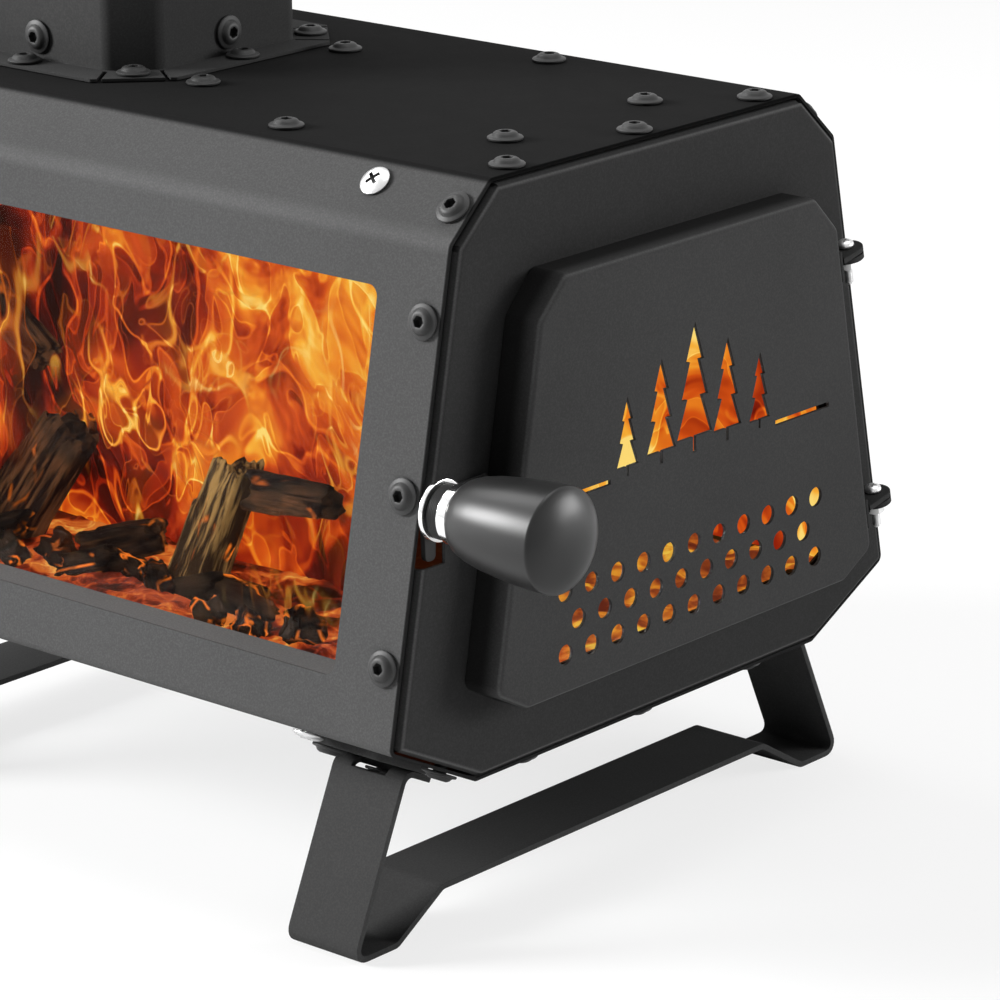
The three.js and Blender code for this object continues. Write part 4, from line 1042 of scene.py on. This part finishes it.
hinge = {'inset': 0.0125, 'proud': 0.0073, 'heights': {'lower': 0.0524, 'upper': 0.145}, 'radius': 0.006,
         'tab': 0.002, 'drop': 0.015, 'base': 0.0016, 'leafDrop': 0.008, 'leafRise': 0.003,
         'pinHole': 0.00185, 'edge': 0.0004}
bolt = {'radius': 0.0015, 'root': 0.00124, 'pitch': 0.0005, 'threadStart': -0.0132, 'threadEnd': -0.0078,
        'point': [(0, -0.014), (0.0007, -0.014), (0.0011, -0.0134)],
        'head': [(0.0015, -0.0074), (0.0015, 0.0003), (0.0029, 0.0003), (0.0030, 0.0005), (0.0030, 0.0011),
                 (0.0028, 0.0017), (0.0022, 0.0022), (0.0012, 0.0025), (0, 0.0025)],
        'armReach': 0.0016, 'slot': 0.0008, 'slotFloor': 0.0013}
nut = {'radius': 0.0033, 'height': 0.0034, 'thread': 0.0017, 'chamferInner': 0.0026, 'chamferOuter': 0.0034}
hingeX = plate['proud'] + hinge['proud']
tabPitch = hinge['tab'] + shell['gap']
(doorLowHalf, doorLowZ), (doorHighHalf, doorHighZ) = door['corners'][1:3]
doorSlope = math.atan2(doorLowHalf - doorHighHalf, doorHighZ - doorLowZ)


def panHalf(height):
    return doorLowHalf + (doorHighHalf - doorLowHalf) * ((height - doorLowZ) / (doorHighZ - doorLowZ))


def hingePlace(height):
    return moved(hingeX, sideHalf(height) - hinge['inset'], height) @ Matrix.Rotation(sideSlope, 4, 'X')


def makeTab(name, reach, low, high):
    radius = hinge['radius']
    tab = addBlock(name, (-reach, -radius, low), (radius, radius, high))
    bevelWhere(tab, acrossEnd(tab, 0, radius, 2), radius * 0.98, 8)
    return tab


def makeLeaf(leaf, arm, matrix):
    # a tab and its arm become one leaf with a hole for the pin
    carve(leaf, arm, 'UNION')
    carve(leaf, addCylinder('pin_hole', hinge['pinHole'], -0.02, 0.02, 24))
    soften(leaf, hinge['edge'], 3)
    return smoothShade(place(leaf, matrix))


def makePlateLeaf(name, matrix):
    reach = hinge['proud'] - shell['gap']
    leaf = makeTab(name, reach, -tabPitch - hinge['tab'], -tabPitch)
    base = addBlock('base', (-reach, -hinge['radius'], -tabPitch - hinge['drop']),
                    (-reach + hinge['base'], hinge['radius'], -tabPitch - 0.0001))
    return makeLeaf(leaf, base, matrix)


def makeDoorLeaf(name, height, matrix):
    wallGap = sideHalf(height) - hinge['inset'] - door['offset'] - panHalf(height)
    lean = math.tan(sideSlope - doorSlope)
    inner = shell['gap'] - wallGap * math.cos(sideSlope) - wallGap * math.sin(sideSlope) * lean
    leaf = makeTab(name, -inner - hinge['base'] / 2, -hinge['tab'], 0)
    place(leaf, Matrix.Rotation(math.pi / 2, 4, 'Z'))
    wall = addBlock('wall', (-hinge['radius'], 0, -hinge['leafDrop']),
                    (hinge['radius'], hinge['base'], hinge['leafRise']))
    place(wall, moved(0, inner, 0) @ Matrix.Rotation(doorSlope - sideSlope, 4, 'X'))
    return makeLeaf(leaf, wall, matrix)


def makeHingeBolt(name, matrix):
    profile = list(bolt['point'])
    level = bolt['threadStart']
    while level < bolt['threadEnd']:
        profile += [(bolt['radius'], level + 0.00015), (bolt['root'], level + 0.0004)]
        level += bolt['pitch']
    pin = turn(name, profile + bolt['head'], 32)
    reach, half = bolt['armReach'], bolt['slot'] / 2
    for turned in (0, math.pi / 2):
        arm = addBlock('arm', (-reach, -half, bolt['slotFloor']), (reach, half, 0.004))
        carve(pin, place(arm, Matrix.Rotation(turned + 0.4, 4, 'Z')))
    return smoothShade(place(pin, matrix), 36)


def makeHingeNut(name, matrix):
    top = -tabPitch - hinge['tab'] - shell['gap']
    hexagon = addCylinder(name, nut['radius'], top - nut['height'], top, 6)
    low, inner, outer = top - nut['height'] - 0.0001, nut['chamferInner'], nut['chamferOuter']
    carve(hexagon, turn('chamfer', [(0, low), (inner, low), (outer, low + 0.0006), (outer, top - 0.0005),
                                    (inner, top + 0.0001), (0, top + 0.0001)], 40), 'INTERSECT')
    carve(hexagon, addCylinder('thread', nut['thread'], -0.02, 0.02, 24))
    soften(hexagon, 0.0001)
    return smoothShade(place(hexagon, matrix))


for level, height in hinge['heights'].items():
    matrix = hingePlace(height)
    settle(makePlateLeaf(f'hinge_plate_{level}', matrix), hingePaint, 'root', f'hinge_leaf_plate_{level}')
    settle(makeDoorLeaf(f'hinge_door_{level}', height, matrix), hingePaint, 'door',
           f'hinge_leaf_door_{level}')
    settle(makeHingeBolt(f'hinge_pin_{level}', matrix), zincPlate, 'root', f'hinge_bolt_{level}')
    settle(makeHingeNut(f'hinge_hexnut_{level}', matrix), zincPlate, 'root', f'hinge_nut_{level}')
print('hinges made')


latch = {'tab': 0.0012, 'radius': 0.0062, 'bore': 0.00255, 'hub': 0.0032, 'arm': 0.018, 'armHalf': 0.0024,
         'armThickness': 0.002, 'armGap': 0.0008, 'armTip': 0.0018, 'upstand': 0.0016, 'upstandDrop': 0.0045,
         'wallOverlap': 0.0006, 'edge': 0.0003, 'armEdge': 0.0002}
grip = {'ring': 0.0018, 'ringRadius': 0.0103, 'ringEdge': 0.0004, 'collar': 0.0047, 'collarRadius': 0.0092,
        'collarEdge': 0.0008, 'knurls': 5, 'knurlPitch': 0.0007, 'knurlDepth': 0.0003, 'ferrule': 0.0038,
        'ferruleRadius': 0.010, 'gap': 0.0003, 'stud': 0.0022, 'studHead': 0.0014, 'studReach': 0.0237,
        'boreReach': 0.0245,
        # the knob's outline: distance from its foot and radius, in millimetres
        'profile': [(0, 10.0), (0.3, 10.4), (1.2, 11.6), (3, 12.8), (6.5, 14.1), (12, 15.3), (18, 16.1),
                    (25, 16.9), (32, 17.3), (38.9, 17.5), (39.5, 17.4), (40, 17.0), (40.7, 16.2),
                    (41.7, 14.6), (42.8, 12.2), (43.6, 9.4), (44.1, 6.6), (44.4, 3.4), (44.5, 0)]}
doorRim = plate['proud'] + door['gap']
latchFront = doorRim + latch['tab']
armFront = plate['proud'] - shell['sheet'] - latch['armGap']
armBack = armFront - latch['armThickness']
handlePlace = moved(0, handleY, handle['height'])


def drilled(piece):
    # the hole for the stud
    return carve(piece, place(addCylinder('hole', latch['bore'], -0.02, 0.02, 32), alongX))


def makeLatchTab():
    wallY = door['offset'] - panHalf(handle['height']) - latch['wallOverlap'] - handleY
    radius = latch['radius']
    tab = addBlock('latch_tab_plate', (doorRim, -radius, -radius), (latchFront, wallY, radius))
    bevelWhere(tab, acrossEnd(tab, 1, -radius, 0), radius * 0.98, 12)
    upstand = addBlock('upstand', (doorRim, -latch['upstand'], -radius),
                       (plate['proud'] + door['depth'] - latch['upstandDrop'], 0, radius))
    place(upstand, moved(0, wallY, 0) @ Matrix.Rotation(doorSlope, 4, 'X'))
    carve(tab, upstand, 'UNION')
    soften(drilled(tab), latch['edge'])
    return smoothShade(place(tab, handlePlace))


def makeLatchArm():
    hub, reach = latch['hub'], latch['arm']
    arm = addBlock('latch_cam_arm', (armBack, -hub, -reach), (armFront, hub, hub))
    pick(arm, 'VERT', lambda item: item.co.z < -reach * 0.99)
    bpy.ops.transform.resize(value=(1, latch['armHalf'] / hub, 1), center_override=(0, 0, -reach))
    leaveEdit()
    bevelWhere(arm, acrossEnd(arm, 2, -reach, 0), latch['armTip'], 5)
    bevelWhere(arm, acrossEnd(arm, 2, hub, 0), hub * 0.97, 8)
    soften(drilled(arm), latch['armEdge'])
    return smoothShade(place(arm, handlePlace))


def makeOnHandle(name, profile, sides=64, loop=False, angle=32):
    # turned along Z, then laid along X on the handle's axis
    return smoothShade(place(turn(name, profile, sides, loop), handlePlace @ alongX), angle)


def makeRing(name, low, length, radius):
    high, bore, edge = low + length, latch['bore'], grip['ringEdge']
    small = 0.3 * edge
    profile = [(bore, low), (radius - edge, low), (radius - small, low + small), (radius, low + edge),
               (radius, high - edge), (radius - small, high - small), (radius - edge, high), (bore, high),
               (bore, low)]
    return makeOnHandle(name, profile, loop=True)


ringX = latchFront + grip['gap']
collarX = ringX + grip['ring'] + grip['gap']
ferruleX = collarX + grip['collar'] + grip['gap']
knobX = ferruleX + grip['ferrule'] + grip['gap']


def makeStud():
    back, head, radius = armBack - shell['gap'] - grip['studHead'], latch['hub'], grip['stud']
    tip = knobX + grip['studReach']
    return makeOnHandle('handle_stud_pin', [
        (0, back), (head - 0.0006, back), (head, back + 0.0005), (head, back + grip['studHead']),
        (radius, back + grip['studHead']), (radius, tip - 0.0003), (0, tip)], 32)


def makeCollar():
    low, high = collarX, collarX + grip['collar']
    bore, sleeve, edge = latch['bore'], grip['collarRadius'], grip['collarEdge']
    profile = [(bore, low), (sleeve - edge, low), (sleeve, low + 0.0006)]
    for step in range(grip['knurls']):
        start = low + 0.0006 + step * grip['knurlPitch']
        profile += [(sleeve, start + 0.0001), (sleeve - grip['knurlDepth'], start + 0.00035),
                    (sleeve, start + 0.0006)]
    profile += [(sleeve, high - 0.0006), (sleeve - edge, high), (bore, high), (bore, low)]
    return makeOnHandle('handle_collar_sleeve', profile, loop=True)


def makeKnob():
    profile = [(0, knobX)] + [(radius / 1000, knobX + x / 1000) for x, radius in grip['profile']]
    knob = makeOnHandle('handle_knob_grip', profile, 72, angle=50)
    drill = addCylinder('bore', latch['bore'], knobX - 0.01, knobX + grip['boreReach'], 32)
    carve(knob, place(drill, handlePlace @ alongX))
    return smoothShade(knob, 40)


settle(makeLatchTab(), hingePaint, 'door', 'latch_tab')
settle(makeStud(), zincPlate, 'handle', 'handle_stud')
settle(makeLatchArm(), camBlack, 'handle', 'latch_cam')
settle(makeRing('handle_rear_washer', ringX, grip['ring'], grip['ringRadius']), brightChrome, 'handle',
       'handle_rear_ring')
settle(makeCollar(), screwBlack, 'handle', 'handle_collar')
settle(makeRing('handle_ferrule', ferruleX, grip['ferrule'], grip['ferruleRadius']), brightChrome, 'handle',
       'handle_front_ring')
settle(makeKnob(), knobBlack, 'handle', 'handle_knob')
print('handle made')


# these pieces keep their CAD form and get a finish
for name in ('window_gasket', 'glass_retainer_upper', 'glass_retainer_lower', 'fire_grate', 'top_baffle',
             'flue_upstand'):
    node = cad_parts[name]
    node.data.materials.clear()
    node.data.materials.append(gasketCloth if name == 'window_gasket' else sootedSteel)

for master in (buttonMaster, longMaster, crossMaster):
    bpy.data.objects.remove(master)


fire = {'low': 0.0270, 'step': 0.0035, 'waveSize': 0.045, 'emberStrength': 0.8, 'woodGlow': 0.5,
        'glowRed': (0.9, 0.20, 0.02)}


def flameParts(board, shift):
    # slow swirls carry the tongues; each tongue is brighter inside and has a thin bright outline
    place = board.mapped(stoveCoords(board), location=shift, scale=(1, 1, 0.66))
    swirl = board.noise(place, 13, 2, 0.5, output=1)
    drift = board.shifted(place, swirl, 0.10)
    ripple = board.shifted(drift, board.noise(place, 48, 1, output=1), 0.014)
    large = board.noise(ripple, 27, 1.5, 0.5, 0.5)
    small = board.noise(ripple, 58, 1.5, 0.5, 0.9)
    body = board.noise(drift, 15, 4, 0.62, 0.6)
    tongue = board.ease(large, 0.47, 0.515) * 0.6 + board.ease(small, 0.48, 0.53) * 0.4
    outline = board.ease(abs(large - 0.5), 0.022, 0.002)
    thread = board.ease(abs(small - 0.515), 0.026, 0.002)
    return body, tongue, outline, thread


def fireWall(name, shift, level, rise):
    board = Board(name)
    x, y, z = board.split(stoveCoords(board))
    body, tongue, outline, thread = flameParts(board, shift)
    # hotter, and with softer lines, towards the door end
    side = board.ease(x, -0.25, -0.10)
    lines = (0.26 * outline + 0.17 * thread) * (1 - 0.5 * board.ease(x, -0.19, -0.09))
    heat = board.clamp((body - 0.5) * 2.9 + level + rise * side + 0.25 * tongue + lines)
    colour = board.ramp(heat, [(0.0, (0.014, 0.002, 0.001)), (0.18, (0.07, 0.004, 0.002)),
                               (0.36, (0.27, 0.014, 0.003)), (0.55, (0.60, 0.075, 0.006)),
                               (0.74, (0.80, 0.22, 0.014)), (0.88, (0.90, 0.42, 0.04)),
                               (1.0, (0.96, 0.68, 0.17))])
    return board.finish(colour=grey(0.01), roughness=1.0, specular=0.0, glow=colour, glowStrength=1.0)


def flameSheet(name, shift, share):
    board = Board(name)
    x, y, z = board.split(stoveCoords(board))
    body, tongue, outline, thread = flameParts(board, shift)
    side = board.ease(x, -0.25, -0.06)
    heat = 0.12 + (body - 0.5) * 1.4 + 0.26 * side + 0.20 * tongue + 0.34 * outline + 0.20 * thread
    colour = board.ramp(board.clamp(heat), [
        (0.0, (0.10, 0.006, 0.002)), (0.3, (0.42, 0.035, 0.004)), (0.55, (0.74, 0.16, 0.010)),
        (0.8, (0.90, 0.42, 0.04)), (1.0, (0.97, 0.70, 0.20))])
    top = board.ease(z, 0.165, 0.085)
    patch = board.ease(board.noise(board.mapped(stoveCoords(board), location=shift), 13, 1), 0.44, 0.54)
    lines = (0.9 * outline + 0.5 * thread) * (1 - 0.35 * side)
    cover = (lines + 0.35 * tongue) * patch * (0.35 + 0.65 * top) * board.ease(z, 0.030, 0.050)
    return board.finish(colour=grey(0.01), roughness=1.0, specular=0.0, glow=colour, glowStrength=1.0,
                        alpha=board.clamp(cover * share))


def flameCurtain(name, start, end, high, material, seed, depth):
    # an upright sheet between two points, waved by a cloud noise
    low, (ax, ay), (bx, by) = fire['low'], start, end
    length, height = math.hypot(bx - ax, by - ay), high - low
    deselectAll()
    bpy.ops.mesh.primitive_grid_add(x_subdivisions=int(length / fire['step']),
                                    y_subdivisions=int(height / fire['step']), size=1,
                                    location=((ax + bx) / 2, (ay + by) / 2, (low + high) / 2),
                                    rotation=(math.pi / 2, 0, math.atan2(by - ay, bx - ax)))
    curtain = newest(name)
    curtain.scale = (length, height, 1)
    applyPlace(curtain)
    cloud = bpy.data.textures.new(f'{name}_cloud', 'CLOUDS')
    cloud.noise_scale = fire['waveSize']
    anchor = bpy.data.objects.new(f'{name}_anchor', None)
    anchor.location = (seed * 0.37, seed * 0.11, 0)
    bpy.context.scene.collection.objects.link(anchor)
    applyModifier(curtain, 'DISPLACE', texture=cloud, texture_coords='OBJECT', texture_coords_object=anchor,
                  strength=depth, mid_level=0.5, direction='NORMAL')
    bpy.data.objects.remove(anchor)
    smoothShade(curtain, 80)
    settle(curtain, material)


bright = fireWall('fire_glow', (0.31, 0.0, 0.13), 0.48, 0.24)
curtains = {  # from and to in X and Y, top, finish, seed, depth of the waves
    'fire_glow_back': ((-0.318, 0.099), (-0.002, 0.099), 0.155, bright, 1, 0.004),
    'fire_glow_rear': ((-0.316, 0.084), (-0.316, -0.072), 0.176, bright, 2, 0.008),
    'fire_glow_middle': ((-0.318, -0.030), (-0.086, -0.030), 0.176,
                         fireWall('fire_depth', (0.05, 0.0, 0.02), -0.01, 0.48), 3, 0.012),
    'flame_middle': ((-0.310, -0.043), (-0.078, -0.043), 0.170,
                     flameSheet('flame_a', (0.61, 0.2, 0.1), 0.85), 4, 0.006),
    'flame_near': ((-0.306, -0.080), (-0.052, -0.080), 0.150,
                   flameSheet('flame_b', (0.17, 0.5, 0.24), 0.7), 5, 0.006),
}
for name, values in curtains.items():
    flameCurtain(name, *values)


def emberFinish():
    board = Board('ember_bed')
    place = board.coords()
    lump = board.cells(board.shifted(place, board.noise(place, 60, 2, output=1), 0.006), 95, 'F1')
    wavy = board.shifted(place, board.noise(place, 130, 3, output=1), 0.009)
    crack = board.cells(wavy, 80, 'DISTANCE_TO_EDGE')
    broad = board.noise(place, 42, 5, 0.65, 0.8)
    hot = board.clamp(board.ease(crack, 0.10, 0.0) * 0.22 + board.ease(broad, 0.38, 0.66) * 0.8)
    x, y, z = board.split(stoveCoords(board))
    # dull under the flames, with mixed glowing charcoal behind the door's air holes
    redGlow = board.ramp(hot * board.ease(y, -0.005, -0.035), [
        (0.0, (0.012, 0.002, 0.001)), (0.3, (0.20, 0.016, 0.004)), (0.55, (0.52, 0.075, 0.012)),
        (0.8, (0.74, 0.20, 0.03)), (1.0, (0.90, 0.44, 0.09))])
    blaze = board.ease(board.noise(place, 62, 3, 0.6, 0.6), 0.32, 0.70)
    yellowGlow = board.ramp(blaze, [
        (0.0, (0.13, 0.020, 0.009)), (0.25, (0.31, 0.060, 0.013)), (0.5, (0.55, 0.14, 0.017)),
        (0.75, (0.80, 0.31, 0.026)), (1.0, (0.94, 0.62, 0.075))])
    nearDoor = board.ease(x, -0.090, -0.066) * board.ease(y, -0.040, -0.015)
    return board.finish(colour=board.blend(broad, (0.012, 0.008, 0.007), (0.032, 0.022, 0.018)),
                        roughness=0.9, specular=0.1, glow=board.blend(nearDoor, redGlow, yellowGlow),
                        glowStrength=fire['emberStrength'], normal=board.bump(lump, 0.8, 0.002))


def charredWood(name, rotation, wood, burn, ember):
    board = Board(name)
    place = board.mapped(stoveCoords(board), rotation=rotation)
    grain = board.noise(board.mapped(place, scale=(1, 1, 0.10)), 330, 5, 0.6, 0.4)
    fibre = board.noise(board.mapped(place, scale=(1, 1, 0.05)), 900, 3, 0.6)
    cell = board.cells(board.mapped(place, scale=(1, 1, 0.45)), 130, 'DISTANCE_TO_EDGE')
    patch = board.noise(place, 30, 4, 0.6)
    fresh = board.blend(board.ease(grain + 0.35 * (fibre - 0.5), 0.42, 0.62), wood['dark'], wood['light'])
    char = board.ramp(cell, [(0.0, (0.004, 0.003, 0.003)), (0.2, (0.016, 0.010, 0.007)),
                             (0.6, (0.038, 0.022, 0.013))])
    hotSpot = board.ease(board.noise(place, 34, 3, 0.6, 0.8), ember, ember + 0.14)
    glowing = hotSpot * board.ease(cell, 0.10, 0.0)
    colour = board.blend(board.ease(patch, burn - 0.12, burn + 0.12), char, fresh)
    # lit by the flames round it, so the wood carries some of its own light
    lit = board.scaled(colour, fire['woodGlow'])
    return board.finish(colour=colour, roughness=0.9, specular=0.1, glowStrength=1.0,
                        glow=board.blend(glowing, lit, fire['glowRed']),
                        normal=board.bump(grain + cell * 1.5, 0.7, 0.0016))


def makeLog(name, start, end, radius, roll, cutShare, wood, burn, furrows=0.6, ember=0.60):
    # a split billet between two points: two flat faces, then bark furrows along it
    start, end = Vector(start), Vector(end)
    axis = end - start
    length = axis.length
    log = addCylinder(name, radius, -length / 2, length / 2, 30)
    for turned in (0, 1.9):
        editAll(log)
        side = Vector((math.cos(turned), math.sin(turned), 0.05))
        bpy.ops.mesh.bisect(plane_co=side * radius * cutShare, plane_no=side, use_fill=True, clear_outer=True)
        leaveEdit()
    applyModifier(log, 'REMESH', mode='VOXEL', voxel_size=0.0013)
    squeeze = 0.2  # the furrows come out five times longer than wide
    place(log, Matrix.Diagonal((1, 1, squeeze, 1)))
    for size, strength in ((0.010, 0.0040), (0.0035, 0.0026), (0.0016, 0.0012)):
        furrow = bpy.data.textures.new(f'{name}_furrow', 'CLOUDS')
        furrow.noise_scale = size
        applyModifier(log, 'DISPLACE', texture=furrow, texture_coords='LOCAL', strength=strength * furrows,
                      mid_level=0.5)
    place(log, Matrix.Diagonal((1, 1, 1 / squeeze, 1)))
    smoothShade(log, 60)
    turnBy = axis.to_track_quat('Z', 'Y').to_matrix().to_4x4() @ Matrix.Rotation(roll, 4, 'Z')
    place(log, moved(*((start + end) / 2)) @ turnBy)
    back = tuple(turnBy.inverted().to_euler())
    settle(log, charredWood(f'{name}_wood', back, wood, burn, ember))


oak = {'light': (0.22, 0.135, 0.048), 'dark': (0.022, 0.012, 0.007)}
bark = {'light': (0.095, 0.042, 0.018), 'dark': (0.010, 0.005, 0.004)}
logs = {  # two ends, radius, roll, share of the radius kept at the split faces, wood, how burnt
    'fire_log_far': ((-0.285, -0.050, 0.118), (-0.237, -0.057, 0.093), 0.0105, 2.2, 0.35, bark, 0.46),
    'fire_log_left': ((-0.262, -0.060, 0.022), (-0.231, -0.051, 0.072), 0.0160, 1.0, 0.35, bark, 0.44),
    'fire_log_oak': ((-0.160, -0.062, 0.026), (-0.147, -0.053, 0.073), 0.0140, 0.4, 0.30, oak, 0.30),
    'fire_log_dark': ((-0.130, -0.058, 0.065), (-0.094, -0.057, 0.066), 0.0085, 2.8, 0.45, bark, 0.50),
    'fire_log_low': ((-0.143, -0.068, 0.029), (-0.106, -0.072, 0.029), 0.0070, 0.5, 0.60, bark, 0.60),
    'fire_log_chip': ((-0.206, -0.064, 0.033), (-0.178, -0.058, 0.042), 0.0085, 1.5, 0.50, bark, 0.55),
    'fire_log_back': ((-0.200, 0.060, 0.040), (-0.110, 0.068, 0.042), 0.0150, 0.9, 0.60, bark, 0.50),
}
for name, values in logs.items():
    makeLog(name, *values)
coals = {'count': 12, 'start': -0.258, 'pitch': 0.0155, 'height': 0.030, 'cutShare': 0.60, 'burn': 0.68,
         'furrows': 1.0, 'ember': 0.44}
for index in range(coals['count']):
    # broken charcoal along the front of the bed
    spot = Vector((coals['start'] + coals['pitch'] * index + random.uniform(-0.004, 0.004),
                   random.uniform(-0.088, -0.062), coals['height']))
    reach = Vector((random.uniform(0.005, 0.010), random.uniform(-0.005, 0.005),
                    random.uniform(-0.002, 0.004)))
    makeLog(f'fire_coal_{index + 1}', spot - reach, spot + reach, random.uniform(0.0050, 0.0075),
            random.uniform(0, 6), coals['cutShare'], bark, coals['burn'], coals['furrows'], coals['ember'])


bed = {'middle': (-0.160, -0.001, 0.0265), 'size': (0.314, 0.200, 1), 'cells': (160, 100),
       'lumps': ((0.030, 0.008), (0.007, 0.005))}


def makeEmberBed():
    deselectAll()
    across, deep = bed['cells']
    bpy.ops.mesh.primitive_grid_add(x_subdivisions=across, y_subdivisions=deep, size=1,
                                    location=bed['middle'])
    ash = newest('ember_bed_ash')
    ash.scale = bed['size']
    applyPlace(ash)
    for size, strength in bed['lumps']:
        lump = bpy.data.textures.new(f'ember_lump_{size}', 'CLOUDS')
        lump.noise_scale = size
        applyModifier(ash, 'DISPLACE', texture=lump, texture_coords='LOCAL', strength=strength,
                      mid_level=0.45)
    smoothShade(ash, 80)
    settle(ash, emberFinish())


makeEmberBed()
print('fire made')


studio = {
    'floorTone': 0.95, 'floorGlow': 0.77, 'softLight': 0.12,
    'lamps': {  # place, aimed at, size, watts
        'key': ((-1.9, -1.5, 1.12), (0, 0, 0.15), (0.8, 0.8), 120),
        'end': ((1.5, 1.35, 0.55), (0.1, 0, 0.15), (0.9, 0.7), 30),
        'crown': ((-1.2, 0.0, 1.6), (0, -0.1, 0.15), (0.9, 0.6), 11),
        'top': ((0.3, 0.3, 2.5), (0, 0, 0.15), (1.4, 1.4), 22),
    },
    'cameraPlace': (0.92834, -1.13824, 0.53426), 'cameraTurn': (72.62591, 0.53770, 41.00947), 'lens': 164.96,
}
white = (1, 1, 1, 1)


def makeFloor():
    deselectAll()
    bpy.ops.mesh.primitive_plane_add(size=12, location=(0, 0, 0))
    floor = newest('floor')
    board = Board('floor_white')
    pale = board.signal(0, 'ShaderNodeBsdfDiffuse', None, {'Color': (*grey(studio['floorTone']), 1)})
    lit = board.signal(0, 'ShaderNodeEmission', None, {'Color': white, 'Strength': 1.0})
    seen = board.signal('Is Camera Ray', 'ShaderNodeLightPath')
    bright = board.mixed(studio['floorGlow'], pale, lit)
    floor.data.materials.append(board.output(board.mixed(seen, pale, bright)))


def makeWorld():
    # plain white to the camera, in mirrors and through glass, and a soft light for all else
    board = Board('studio', 'worlds')
    camera, clear, mirror = [board.signal(f'Is {kind} Ray', 'ShaderNodeLightPath')
                             for kind in ('Camera', 'Transmission', 'Glossy')]
    seen = board.maths('MAXIMUM', board.maths('MAXIMUM', camera, clear), mirror)
    soft, plain = [board.signal(0, 'ShaderNodeBackground', None, {'Color': white, 'Strength': strength})
                   for strength in (studio['softLight'], 1.0)]
    bpy.context.scene.world = board.output(board.mixed(seen, soft, plain), 'ShaderNodeOutputWorld')


def addSoftbox(name, location, target, size, power):
    deselectAll()
    bpy.ops.object.light_add(type='AREA', location=location)
    lamp = bpy.context.object
    lamp.name = name
    lamp.data.shape = 'RECTANGLE'
    lamp.data.size, lamp.data.size_y = size
    lamp.data.energy = power
    lamp.rotation_euler = (Vector(location) - Vector(target)).to_track_quat('Z', 'Y').to_euler()


def addCamera():
    deselectAll()
    bpy.ops.object.camera_add(location=origin + Vector(studio['cameraPlace']),
                              rotation=[math.radians(angle) for angle in studio['cameraTurn']])
    camera = bpy.context.object
    camera.data.sensor_width = 36
    camera.data.lens = studio['lens']
    camera.data.clip_start, camera.data.clip_end = 0.05, 50
    bpy.context.scene.camera = camera
    bpy.context.scene.view_settings.view_transform = 'Standard'


makeFloor()
makeWorld()
for name, values in studio['lamps'].items():
    addSoftbox(name, *values)
addCamera()
